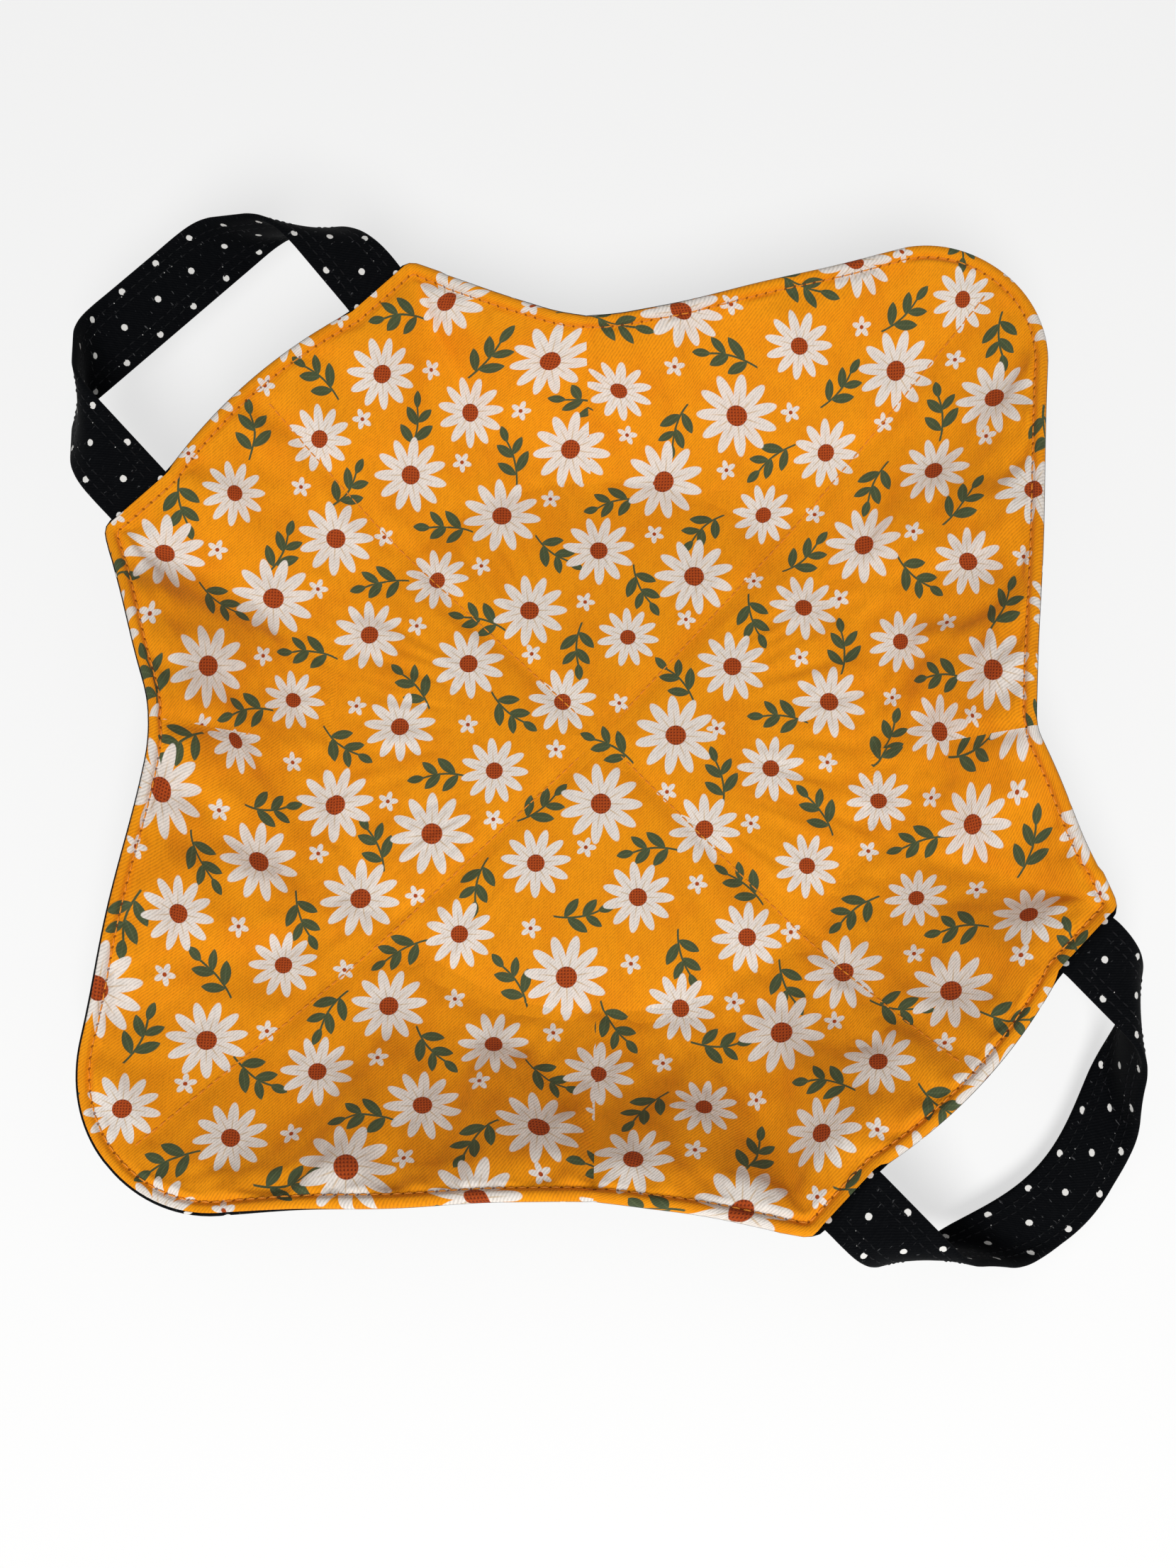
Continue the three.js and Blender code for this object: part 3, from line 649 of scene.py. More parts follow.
def stitches(path, normals, pitch):
    """Points, quads and caps of a sewn line: arcs of thread, one after another, that dip in at both ends."""
    lengths = lengths_along(path)
    count = int(lengths[-1] // pitch)
    start = (np.arange(count) + 0.5 * (1 - STITCH_LENGTH / pitch)) * (lengths[-1] / count)
    share = np.linspace(0, 1, RINGS)
    at = start[:, None] + share * STITCH_LENGTH
    middle = read_along(at, lengths, path)
    up = unit(read_along(at, lengths, normals))
    side = np.cross(unit(np.gradient(middle, axis=1)), up)
    turn = rng.uniform(-STITCH_TURN, STITCH_TURN, (count, 1, 1))
    arch = np.sin(np.pi * share)[None, :, None]
    middle = middle + side * turn * (share - 0.5)[None, :, None] * STITCH_LENGTH
    middle = middle + up * (STITCH_RADIUS * STITCH_LIFT - STITCH_SINK * (1 - arch**0.5))
    around = np.arange(SIDES) * 2 * np.pi / SIDES
    plump = STITCH_RADIUS * (1 - STITCH_TAPER * (1 - arch))
    ring = up[:, :, None] * np.cos(around)[:, None] + side[:, :, None] * np.sin(around)[:, None]
    points = middle[:, :, None] + ring * plump[..., None]
    first = np.arange(count)[:, None, None] * RINGS * SIDES
    quads = (first + grid_faces(RINGS, SIDES)).reshape(-1, 4)
    cap = np.arange(SIDES)
    caps = np.concatenate([first[:, 0] + cap, first[:, 0] + (RINGS - 1) * SIDES + cap[::-1]])
    twist = np.stack(np.broadcast_arrays(at[:, :, None], around * STITCH_RADIUS), axis=-1).reshape(-1, 2)
    return points.reshape(-1, 3), quads, caps, twist


def stitch_mesh(name, lines):
    """One mesh of several sewn lines, with a UV map that runs along and round the thread."""
    points, quads, caps, twists = [], [], [], []
    first = 0
    for line in lines:
        line_points, line_quads, line_caps, twist = stitches(*line)
        points.append(line_points)
        quads.append(line_quads + first)
        caps.append(line_caps + first)
        twists.append(twist)
        first += len(line_points)
    points, quads, caps, twists = (np.concatenate(parts) for parts in (points, quads, caps, twists))
    return add_mesh(name, points, [quads, caps], {"cloth": [twists[quads], twists[caps]]})

# %% Edge topstitching and quilting lines
QUILT_END = WALL_END + int(np.flatnonzero(EDGE_INSETS < BATTING_INSET)[0])
QUILT_PITCH = 3.2


def edge_mesh(name, face, normal):
    """The sewn line along the edge of one cotton face, closed by its first point."""
    path, up = (np.concatenate([grid[STITCH_ROW], grid[STITCH_ROW][:1]]) for grid in (face, normal))
    return stitch_mesh(name, [(path, up, STITCH_PITCH)])


def crossing_path(grid, column):
    """A line over the whole pad: in along one column, over the middle and out along the opposite one."""
    return np.concatenate([grid[:QUILT_END, column][::-1], grid[:QUILT_END, column + COLUMNS // 2]])


def quilting_mesh(name, face, normal):
    """Both quilting lines of one cotton face."""
    lines = [
        (crossing_path(face, column), crossing_path(normal, column), QUILT_PITCH)
        for column in quilt_columns[:2]
    ]
    return stitch_mesh(name, lines)


edge_stitching = edge_mesh("edge_stitching", lining_face, lining_normal)
edge_bobbin_stitching = edge_mesh("edge_bobbin_stitching", outer_face, outer_normal)
lining_quilting = quilting_mesh("lining_quilting", lining_face, lining_normal)
outer_quilting = quilting_mesh("outer_quilting", outer_face, outer_normal)
print("edge line has", len(edge_stitching.data.vertices) // (RINGS * SIDES), "stitches")

# %% [markdown]
# ## Straps
# A strap is a strip of the outer's cotton, folded round a stiffener and sewn twice along each long edge. Both
# of its ends go into the seam side by side, and the loop turns over in a soft diagonal fold at each corner of
# the grip. That fold lies across the strap at 45 degrees: a point past its start goes a quarter turn round,
# straight down and another quarter turn round, and lies face down beyond that. So one formula gives the whole
# loop, and the pin dots follow because the UV map holds the run along the strap and the place across it.

# %% Strap sizes
STRAP_TAIL = 7.5
FOLD_START = 14
FOLD_RADIUS = 12
FOLD_DROP = 10
FOLD_LENGTH = math.pi * FOLD_RADIUS + FOLD_DROP
FOLD_PINCH = 2.5
GRIP_BOW = {"left": 0, "right": 14}
BOW_REACH = 62
REST_ANGLE = {"left": math.radians(26), "right": math.radians(-8)}
SEAM_AXIS = np.array([170.580, 47.891])  # reach and height of the hinge
SEAM_ALONG = np.array([0.7715, 0.6362])  # the wall's direction there
HALF_STRAP = FOLD_START + STRAP_CENTRE + FOLD_LENGTH / SQRT2
HINGE_EASE = 2.5
STITCH_LINES = (-8.7, -5.7, 5.7, 8.7)
ROOT_SPAN = 4  # the stretch beside the seam, which has closer rows
ROOT_RUNS = 16
LOOP_RUNS = 201


def loop_place(side, run, across):
    """Flat loop and its normal: straight out, over the fold at 45 degrees, then face down along the grip.

    The fold is pinched a little in the middle of the strap, so its edges stand out like an hourglass.
    """
    past = HALF_STRAP - np.abs(run) - FOLD_START
    mirror = np.where(run > 0, -1.0, 1.0)
    over = (past + across) / SQRT2
    along = (past - across) / SQRT2
    folded = np.clip(over, 0, FOLD_LENGTH)
    dropped = np.clip(folded - np.pi / 2 * FOLD_RADIUS, 0, FOLD_DROP)
    turn = (folded - dropped) / FOLD_RADIUS
    push = FOLD_RADIUS * np.sin(turn) - np.abs(over - folded)
    push -= FOLD_PINCH * np.sin(turn) ** 2 * (1 - (2 * across / STRAP_WIDTH) ** 2)
    fade = np.clip(1 - np.abs(run) / BOW_REACH, 0, 1)
    bow = GRIP_BOW[side] * np.sin(fade * np.pi / 2) ** 2
    tip = np.sin(turn) / SQRT2
    point = [
        FOLD_START + (along + push) / SQRT2 + bow,
        mirror * (STRAP_CENTRE + (push - along) / SQRT2),
        -FOLD_RADIUS * (1 - np.cos(turn)) - dropped,
    ]
    return np.stack(point, axis=-1), np.stack([tip, mirror * tip, np.cos(turn)], axis=-1)


def strap_place(side, run, across):
    """The loop turned about the seam; at the seam it eases, by a quadratic curve, into the wall's slope."""
    run, across = np.broadcast_arrays(np.asarray(run, float), np.asarray(across, float))
    point, normal = loop_place(side, run, across)
    tilt = REST_ANGLE[side]
    rotation = np.array([[math.cos(tilt), -math.sin(tilt)], [math.sin(tilt), math.cos(tilt)]])
    profile = point[..., [0, 2]] @ rotation.T
    profile_normal = normal[..., [0, 2]] @ rotation.T
    past = HALF_STRAP - np.abs(run)
    leg = np.array([math.cos(tilt), math.sin(tilt)])
    t = np.clip((past + HINGE_EASE) / (2 * HINGE_EASE), 0, 1)[..., None]
    eased = -HINGE_EASE * (1 - t) ** 2 * SEAM_ALONG + HINGE_EASE * t**2 * leg
    eased = np.where(past[..., None] < -HINGE_EASE, past[..., None] * SEAM_ALONG, eased)
    slope = unit((1 - t) * SEAM_ALONG + t * leg)
    near = (past < HINGE_EASE)[..., None]
    profile = np.where(near, eased, profile) + SEAM_AXIS
    profile_normal = np.where(near, np.stack([-slope[..., 1], slope[..., 0]], axis=-1), profile_normal)
    flip = 1 if side == "right" else -1
    sideways = flip * point[..., 1] + HANDLE_SHIFT[side]
    place = np.stack([flip * profile[..., 0], sideways, profile[..., 1]], axis=-1)
    up = np.stack([flip * profile_normal[..., 0], flip * normal[..., 1], profile_normal[..., 1]], axis=-1)
    return place, up


root_runs = np.linspace(-HALF_STRAP - STRAP_TAIL, -HALF_STRAP + ROOT_SPAN, ROOT_RUNS)
loop_end = HALF_STRAP - ROOT_SPAN - 1
strap_runs = np.r_[root_runs, np.linspace(-loop_end, loop_end, LOOP_RUNS), -root_runs[::-1]]
print("strap of", round(2 * (HALF_STRAP + STRAP_TAIL), 1), "mm with its sewn-in ends")

# %% Strap bands and cores
SECTION = 25  # points across each face
CORE_SECTION = 9
ROW_DIP = 0.2
ROW_WIDTH = 0.8
EDGE_ROUND = 0.1  # share of the half width that is rounded off
TAIL_THIN = 0.3  # share of the thickness that is pressed out inside the seam
TAIL_EASE = 2.5
CORE_HALF_WIDTH = 11.6
CORE_HALF = 0.2
CORE_END = 3  # distance from the seam to the stiffener
SEWN_END = 1.5  # distance from the seam to the first stitch
SEWN_POINTS = 400


def strap_half(run, across):
    """Half thickness: full in the middle, round at the edges, dipped along rows, thinner in the seam."""
    away = np.abs(across) / (STRAP_WIDTH / 2)
    rounded = np.sqrt(np.maximum(0, 1 - np.clip((away - 1 + EDGE_ROUND) / EDGE_ROUND, 0, 1) ** 2))
    rows = sum(dip(across - row, ROW_WIDTH) for row in STITCH_LINES)
    tail = 1 - TAIL_THIN * smooth(0, TAIL_EASE, np.abs(run) - HALF_STRAP)
    return STRAP_HALF * rounded * tail - ROW_DIP * rows


def core_half(run, across):
    """The stiffener is one even layer that closes at its edges."""
    return np.where(np.abs(across) < CORE_HALF_WIDTH, CORE_HALF, 0.0)


def band_mesh(name, side, runs, across, half):
    """A closed band: its upper face from edge to edge, then its lower face back, capped at both ends."""
    loop = np.r_[across, across[-2:0:-1]]
    face = np.r_[np.ones(len(across)), -np.ones(len(across) - 2)]
    run, place = np.meshgrid(runs, loop, indexing="ij")
    point, normal = strap_place(side, run, place)
    points = point + normal * (half(run, place) * face)[..., None]
    count = len(loop)
    quads = grid_faces(len(runs), count)
    uv = np.stack([run, place], axis=-1).reshape(-1, 2)
    ends = np.array([np.arange(count), (len(runs) - 1) * count + np.arange(count)[::-1]])
    return add_mesh(name, points.reshape(-1, 3), [quads, ends], {"cloth": [uv[quads], uv[ends]]})


def strap_stitching(name, side):
    """Two rows along each long edge, on both faces, starting where the strap leaves the seam."""
    runs = np.linspace(-HALF_STRAP + SEWN_END, HALF_STRAP - SEWN_END, SEWN_POINTS)
    lines = []
    for row in STITCH_LINES:
        across = np.full_like(runs, row)
        point, normal = strap_place(side, runs, across)
        half = strap_half(runs, across)[:, None]
        lines += [(point + normal * half * face, normal * face, STITCH_PITCH) for face in (1, -1)]
    return stitch_mesh(name, lines)


straps, cores, strap_threads = {}, {}, {}
strap_section = STRAP_WIDTH / 2 * np.sin(np.linspace(-np.pi / 2, np.pi / 2, SECTION))
core_section = np.linspace(-CORE_HALF_WIDTH, CORE_HALF_WIDTH, CORE_SECTION)
core_runs = strap_runs[np.abs(strap_runs) < HALF_STRAP - CORE_END]
for side in ("left", "right"):
    straps[side] = band_mesh(side + "_strap", side, strap_runs, strap_section, strap_half)
    cores[side] = band_mesh(side + "_strap_stiffener", side, core_runs, core_section, core_half)
    strap_threads[side] = strap_stitching(side + "_strap_stitching", side)
print("strap bands of", len(straps["left"].data.polygons), "faces")

# %% [markdown]
# ## Shader expressions
# Patterns on cloth are arithmetic on the UV map. Node links for such sums are hard to read, so a small class
# wraps a socket: an expression like `1 - mask` adds the Math node that it needs. One method makes every
# other node, with its settings first and its inputs after.

# %% Field class
class Field:
    """A shader value that can be used in Python arithmetic."""

    def __init__(self, tree, socket=None):
        self.tree = tree
        self.socket = socket

    def node(self, kind, settings=None, inputs=None, output=0):
        """Add any node: settings, then values or links of its inputs, and give one of its outputs."""
        made = self.tree.nodes.new("ShaderNode" + kind)
        for key, value in (settings or {}).items():
            setattr(made, key, value)
        for key, value in (inputs or {}).items():
            if isinstance(value, Field):
                self.tree.links.new(value.socket, made.inputs[key])
            else:
                made.inputs[key].default_value = value
        return Field(self.tree, made.outputs[output])

    def math(self, operation, *others):
        """A Math node on this value and the others."""
        return self.node("Math", {"operation": operation}, dict(enumerate((self, *others))))

    def __add__(self, other):
        return self.math("ADD", other)

    __radd__ = __add__

    def __sub__(self, other):
        return self.math("SUBTRACT", other)

    def __rsub__(self, other):
        return self.node("Math", {"operation": "SUBTRACT"}, {0: other, 1: self})

    def __mul__(self, other):
        return self.math("MULTIPLY", other)

    def __truediv__(self, other):
        return self.math("DIVIDE", other)

    def __pow__(self, other):
        return self.math("POWER", other)

    def ramp(self, low, high):
        """0 below low and 1 above high, in a smooth step. Low may be the greater of the two."""
        ends = {1: min(low, high), 2: max(low, high), 3: float(low > high), 4: float(low < high)}
        settings = {"interpolation_type": "SMOOTHSTEP", "clamp": True}
        return self.node("MapRange", settings, {"Value": self, **ends})


def mix(factor, first, second):
    """Colour between two colours."""
    return factor.node("Mix", {"data_type": "RGBA"}, {0: factor, 6: first, 7: second}, output=2)


def new_material(name):
    """A new material, its shader, and its tree as a Field to build on."""
    material = bpy.data.materials.new(name)
    material.use_nodes = True
    shader = material.node_tree.nodes["Principled BSDF"]
    return material, shader, Field(material.node_tree)


def finish_surface(shader, colour, roughness, height, bump, constants):
    """Link colour, roughness and the bump of a height, with its depth in metres, and set constants."""
    strength, distance = bump
    normal = height.node("Bump", inputs={"Strength": strength, "Distance": distance, "Height": height})
    for socket, field in (("Base Color", colour), ("Roughness", roughness), ("Normal", normal)):
        field.tree.links.new(field.socket, shader.inputs[socket])
    for socket, value in constants.items():
        shader.inputs[socket].default_value = value


def srgb(red, green, blue):
    """A screen colour from 0 to 255 as the linear colour that shaders use."""
    screen = np.array([red, green, blue]) / 255
    linear = np.where(screen <= 0.04045, screen / 12.92, ((screen + 0.055) / 1.055) ** 2.4)
    return (*linear.tolist(), 1.0)

# %% [markdown]
# ## Printed cotton
# The lining is golden cotton with white daisies, sprigs of green leaves and small blossoms tossed between
# them. Each motif sits in its own cell of a half-drop grid, the layout that fabric printers use so that rows
# don't line up. White noise of the cell's number gives each one its own place, turn and size. A mask for a
# petal is an ellipse in the petal's own turned coordinates; a leaf is the space between two curves. The cloth
# itself is a fine twill, cut with its yarns along the sides of the square, so its ribs run from corner to
# corner. They give the bump, and the print is darkened by painted shade between them and by uneven yarns.
# A second UV map counts the stitches of the edge line, which places painted shade in the needle holes.

# %% Flat cloth coordinates and half-drop cells
PRINT_PERIOD = 35.0


def outputs(field, count):
    """The first few outputs of the node that a value comes from."""
    return [Field(field.tree, socket) for socket in field.socket.node.outputs[:count]]


def flat_place(tree, uv_map="cloth"):
    """The two coordinates of a UV map, which are flat millimetres of the cloth unless a map is named."""
    return outputs(tree.node("SeparateXYZ", inputs={0: tree.node("UVMap", {"uv_map": uv_map})}), 2)


def cell(u, v, shift, seed, wander):
    """Half-drop cell: the place inside it from its wandering middle, and three random numbers of the cell."""
    u = u + shift[0]
    column = (u / PRINT_PERIOD).math("FLOOR")
    dropped = v + shift[1] + column.math("FLOORED_MODULO", 2.0) * (PRINT_PERIOD / 2)
    row = (dropped / PRINT_PERIOD).math("FLOOR")
    number = u.node("CombineXYZ", inputs={0: column, 1: row, 2: seed})
    random_colour = u.node("TexWhiteNoise", {"noise_dimensions": "3D"}, {"Vector": number}, output=1)
    chance = outputs(u.node("SeparateColor", inputs={0: random_colour}), 3)
    x = u - (column + 0.5) * PRINT_PERIOD + (chance[0] - 0.5) * wander
    y = dropped - (row + 0.5) * PRINT_PERIOD + (chance[1] - 0.5) * wander
    return x, y, chance


def turned(x, y, angle):
    """Coordinates turned by an angle: x cos + y sin, and y cos - x sin."""
    cosine, sine = angle.math("COSINE"), angle.math("SINE")
    return x * cosine + y * sine, y * cosine - x * sine


def length(x, y):
    """Distance from the middle."""
    return (x * x + y * y).math("SQRT")


def daisy(x, y, turn, petals, middle, half_length, half_width, edge):
    """Petal mask: the angle folds into one petal's share, and an ellipse stands at the petal's middle."""
    angle = y.math("ARCTAN2", x) + turn
    share = 2 * math.pi / petals
    folded = (angle / share).math("FRACT") - 0.5
    out = length(x, y)
    petal_x = out * (folded * share).math("COSINE") - middle
    petal_y = out * (folded * share).math("SINE")
    along, across = petal_x / half_length, petal_y / half_width
    return (along * along + across * across).ramp(1.0 + edge, 1.0 - edge), petal_x, petal_y


def leaf(x, y, base, angle, long, wide):
    """Leaf mask: its width at each share s of its length is wide times 4 s (1 - s) to a power below one."""
    cosine, sine = math.cos(angle), math.sin(angle)
    along = (x - base[0]) * cosine + (y - base[1]) * sine
    across = ((y - base[1]) * cosine - (x - base[0]) * sine).math("ABSOLUTE")
    share = (along / long).math("MAXIMUM", 0.0).math("MINIMUM", 1.0)
    width = (share * (1 - share) * 4.0) ** 0.8 * wide
    return (width - across).ramp(0.02, 0.26), across

# %% Printed cotton material
GOLD = srgb(250, 156, 8)
GOLD_WORN = srgb(242, 146, 6)
PETAL = srgb(240, 231, 222)
PETAL_LINE = srgb(214, 186, 150)
RUST = srgb(178, 74, 24)
RUST_DARK = srgb(122, 46, 14)
LEAF = srgb(76, 87, 58)
LEAF_VEIN = srgb(92, 102, 70)
# painted shade inside the needle holes of the edge line
HOLE_SHADE = srgb(116, 52, 10)
HOLE_RADIUS = 0.42
ANY_TURN = 6.28  # radians
SPRIG_CELL = {"shift": (PRINT_PERIOD / 3, PRINT_PERIOD / 2), "seed": 3.0, "wander": 5.0}
SPRIG_LEAVES = (  # base on the stem and beside it, angle, length and half width
    (-6.0, 0.8, 0.75, 8.5, 1.9),
    (-5.0, 0.4, -0.8, 9.0, 2.0),
    (0.5, 0.0, 0.7, 8.0, 1.9),
    (1.5, 0.1, -0.75, 7.5, 1.7),
    (6.5, 0.9, 0.1, 6.5, 1.7),
)
STEM_BEND = 0.02
BLOSSOM_CELL = {"shift": (2 * PRINT_PERIOD / 3, 0.0), "seed": 11.0, "wander": 8.0}
BLOSSOM = {"petals": 5, "middle": 2.0, "half_length": 1.75, "half_width": 1.0, "edge": 0.2}
DAISY_CELL = {"shift": (0.0, 0.0), "seed": 7.0, "wander": 5.0}
DAISY = {"petals": 11, "middle": 7.2, "half_length": 5.0, "half_width": 1.75, "edge": 0.1}
SEED_TURN = 2 * math.pi / 1.3
TWILL = 0.85  # from rib to rib
# painted shade: the colour's brightness in the furrows between the twill ribs
FURROW = 0.66  # brightness between the ribs


def twill_ribs(warp, weft):
    """Diagonal ribs from 0 to 1: a sine of the difference of both yarn directions, on round yarns."""
    uneven = warp.node("CombineXYZ", inputs={0: warp * 0.3, 1: weft * 0.3})
    drift = warp.node("TexNoise", {"noise_dimensions": "2D"}, {"Vector": uneven, "Scale": 1.0, "Detail": 2.0})
    phase = (warp - weft + drift * 0.7) * (2 * math.pi / (TWILL * SQRT2))
    yarn = (weft * (6 * math.pi / (TWILL * SQRT2))).math("SINE")
    return phase.math("SINE") * 0.36 + yarn * 0.14 + 0.5


def yarn_noise(u, v, stretch, scale):
    """Noise drawn out along one yarn direction."""
    place = u.node("CombineXYZ", inputs={0: u * scale, 1: v * (scale / stretch)})
    return u.node("TexNoise", {"noise_dimensions": "2D"}, {"Vector": place, "Scale": 1.0, "Detail": 3.0})


def sprigs(u, v, colour):
    """Print sprigs over a colour: a bent stem with a few leaves, each with a paler vein."""
    x, y, chance = cell(u, v, **SPRIG_CELL)
    x, y = turned(x, y, chance[2] * (2 * math.pi))
    stem = (y - x * x * STEM_BEND).math("ABSOLUTE").ramp(0.5, 0.25)
    greens = stem * x.ramp(-10.0, -9.5) * x.ramp(9.0, 8.5)
    veins = None
    for base_x, base_y, angle, long, wide in SPRIG_LEAVES:
        blade, across = leaf(x, y, (base_x, base_y), angle, long, wide)
        vein = blade * across.ramp(0.28, 0.1)
        greens = greens.math("MAXIMUM", blade)
        veins = vein if veins is None else veins.math("MAXIMUM", vein)
    return mix(veins * 0.7, mix(greens, colour, LEAF), LEAF_VEIN)


def blossoms(u, v, colour):
    """Print small blossoms over a colour, each with a rust dot."""
    x, y, chance = cell(u, v, **BLOSSOM_CELL)
    petals, _, _ = daisy(x, y, chance[2] * ANY_TURN, **BLOSSOM)
    return mix(length(x, y).ramp(0.85, 0.6), mix(petals, colour, PETAL), RUST)


def daisies(u, v, colour):
    """Print daisies of several sizes over a colour: creased petals round a seeded eye."""
    x, y, chance = cell(u, v, **DAISY_CELL)
    size = 0.9 + chance[2] * 0.35
    x, y = x / size, y / size
    petals, petal_x, petal_y = daisy(x, y, chance[0] * ANY_TURN, **DAISY)
    crease = petals * petal_y.math("ABSOLUTE").ramp(0.3, 0.08) * petal_x.ramp(2.5, -3.5)
    colour = mix(crease * 0.8, mix(petals, colour, PETAL), PETAL_LINE)
    seeds = (x * SEED_TURN).math("SINE") * (y * SEED_TURN).math("SINE")
    eye = mix(seeds.ramp(0.1, 0.5), RUST, RUST_DARK)
    return mix(length(x, y).ramp(3.2, 2.95), colour, eye)


def printed_cotton():
    """Golden twill with print and uneven yarns, painted shade between ribs and in the edge's needle holes."""
    material, shader, tree = new_material("printed_cotton")
    u, v = flat_place(tree)
    colour = mix(yarn_noise(u, v, 1.0, 0.05).ramp(0.35, 0.75), GOLD, GOLD_WORN)
    for motif in (sprigs, blossoms, daisies):
        colour = motif(u, v, colour)
    warp, weft = (v - u) / SQRT2, (u + v) / SQRT2
    ribs = twill_ribs(warp, weft)
    streaks = yarn_noise(weft, warp, 8.0, 1.6)
    slubs = yarn_noise(warp, weft, 3.0, 1.2)
    # painted shade between the twill ribs, mixed with the yarns' own uneven tone
    shade = (ribs * 0.7 + streaks * 0.6 + slubs * 0.4).ramp(0.3, 1.15)
    darker = tree.node("VectorMath", {"operation": "SCALE"}, {0: colour, "Scale": FURROW})
    # painted shade in each needle hole of the edge line; the holes also sink the bump
    count, inset = flat_place(tree, "seam")
    along = ((count + 0.5).math("FRACT") - 0.5) * STITCH_PITCH
    holes = length(along, inset - STITCH_INSET).ramp(HOLE_RADIUS + 0.15, HOLE_RADIUS - 0.1)
    colour = mix(holes * 0.8, mix(shade, darker, colour), HOLE_SHADE)
    height = ribs + streaks * 0.5 - holes * 2.0
    constants = {"Sheen Weight": 0.05, "Sheen Roughness": 0.5, "Specular IOR Level": 0.15}
    finish_surface(shader, colour, 0.78 + ribs * 0.1, height, (0.5, 0.00012), constants)
    return material


printed = printed_cotton()
print("printed cotton has", len(printed.node_tree.nodes), "nodes")

# %% [markdown]
# ## Pin-dot cotton
# Outer and straps are black cotton with small white dots on a staggered lattice. Two lattices, one shifted by
# half a period both ways, give the stagger. White lint and a faint twill keep the black from looking like
# plastic.

# %% Pin-dot cotton material
BLACK = srgb(4, 5, 7)
# lighter black: painted light on the twill ribs, mixed with the yarns' own uneven tone
BLACK_RIB_LIGHT_AND_GRAIN = srgb(15, 16, 18)
DOT = srgb(228, 226, 222)
LINT = srgb(120, 120, 122)
DOT_RADIUS = 1.15
DOT_ALONG = 16.4
DOT_ACROSS = 19.4
SPECK_CHANCE = (0.12, 0.2)  # only stitches with the lowest chances show a speck
SPECK_EDGE = (0.24, 0.12)  # distances at which a speck starts and is white


def dot_lattice(u, v, shift_u, shift_v):
    """Distance to the nearest dot of one lattice."""
    x = ((u + shift_u) / DOT_ALONG + 0.5).math("FRACT") - 0.5
    y = ((v + shift_v) / DOT_ACROSS + 0.5).math("FRACT") - 0.5
    return length(x * DOT_ALONG, y * DOT_ACROSS)


def needle_specks(u, v):
    """White specks where a needle went through: a spot at a random place of some stitches of a strap row."""
    place = (u / STITCH_PITCH).math("FLOOR")
    nearest = None
    for row in STITCH_LINES:
        number = u.node("CombineXYZ", inputs={0: place, 1: row})
        chance = u.node("TexWhiteNoise", {"noise_dimensions": "2D"}, {"Vector": number})
        along = u - (place + 0.3 + chance * 0.4) * STITCH_PITCH
        far = length(along, v - row + (chance - 0.5) * 0.5) + chance.ramp(*SPECK_CHANCE)
        nearest = far if nearest is None else nearest.math("MINIMUM", far)
    return nearest.ramp(*SPECK_EDGE)


def pin_dot_cotton(name, needled):
    """Black twill with staggered white dots, some lint, and specks along the sewn rows of a strap."""
    material, shader, tree = new_material(name)
    u, v = flat_place(tree)
    ribs = twill_ribs(u, v)
    yarn = yarn_noise(u, v, 6.0, 1.6)
    # painted light on the twill ribs and the yarns' uneven tone, between the two blacks
    colour = mix((ribs * 0.5 + yarn * 0.6).ramp(0.35, 0.95), BLACK, BLACK_RIB_LIGHT_AND_GRAIN)
    lint = yarn_noise(u, v, 3.0, 0.9).ramp(0.70, 0.78)
    colour = mix(lint * 0.35, colour, LINT)
    ragged = (yarn_noise(u, v, 1.0, 2.4) - 0.5) * 0.35
    near = dot_lattice(u, v, 0.0, 0.0)
    far = dot_lattice(u, v, DOT_ALONG / 2, DOT_ACROSS / 2)
    dots = (near.math("MINIMUM", far) + ragged).ramp(DOT_RADIUS + 0.1, DOT_RADIUS - 0.1)
    colour = mix(dots, colour, DOT)
    if needled:
        colour = mix(needle_specks(u, v) * 0.7, colour, DOT)
    height = ribs * 0.6 + yarn * 0.6 + dots * 0.25
    constants = {"Sheen Weight": 0.015, "Sheen Roughness": 0.45, "Specular IOR Level": 0.03}
    finish_surface(shader, colour, 0.8 + ribs * 0.1, height, (0.4, 0.0001), constants)
    return material


pin_dot = pin_dot_cotton("pin_dot_cotton", False)
pin_dot_strap = pin_dot_cotton("pin_dot_cotton_strap", True)
print("pin-dot cotton has", len(pin_dot_strap.node_tree.nodes), "nodes on the straps")

# %% [markdown]
# ## Threads and batting
# Sewing thread is two or three plies twisted together. Slanting bands on the stitch's own UV map, which runs
# along and round the thread, give that twist, with painted light on each ply and painted shade in the grooves
# between them. Batting is a cloud of cream fibres, so its colour and bump are noise.

# %% Thread and batting materials
PLY = 0.55  # along the thread, from ply to ply
FIBRE_SCALE = 900.0  # noise cells in a metre
CREAM = srgb(240, 234, 220)
CREAM_DARK = srgb(222, 212, 190)


def thread_material(name, light, dark, gloss):
    """Twisted thread: a sine of the place along the thread plus the place round it; painted light and shade on
    the plies.
    """
    material, shader, tree = new_material(name)
    along, around = flat_place(tree)
    # painted light on the ply crowns and painted shade in the grooves between plies
    ply = ((along / PLY + around / (2 * STITCH_RADIUS)) * (2 * math.pi)).math("SINE") * 0.5 + 0.5
    constants = {"Specular IOR Level": gloss}
    finish_surface(shader, mix(ply, dark, light), 0.5 + ply * 0.15, ply, (0.5, 0.0001), constants)
    return material


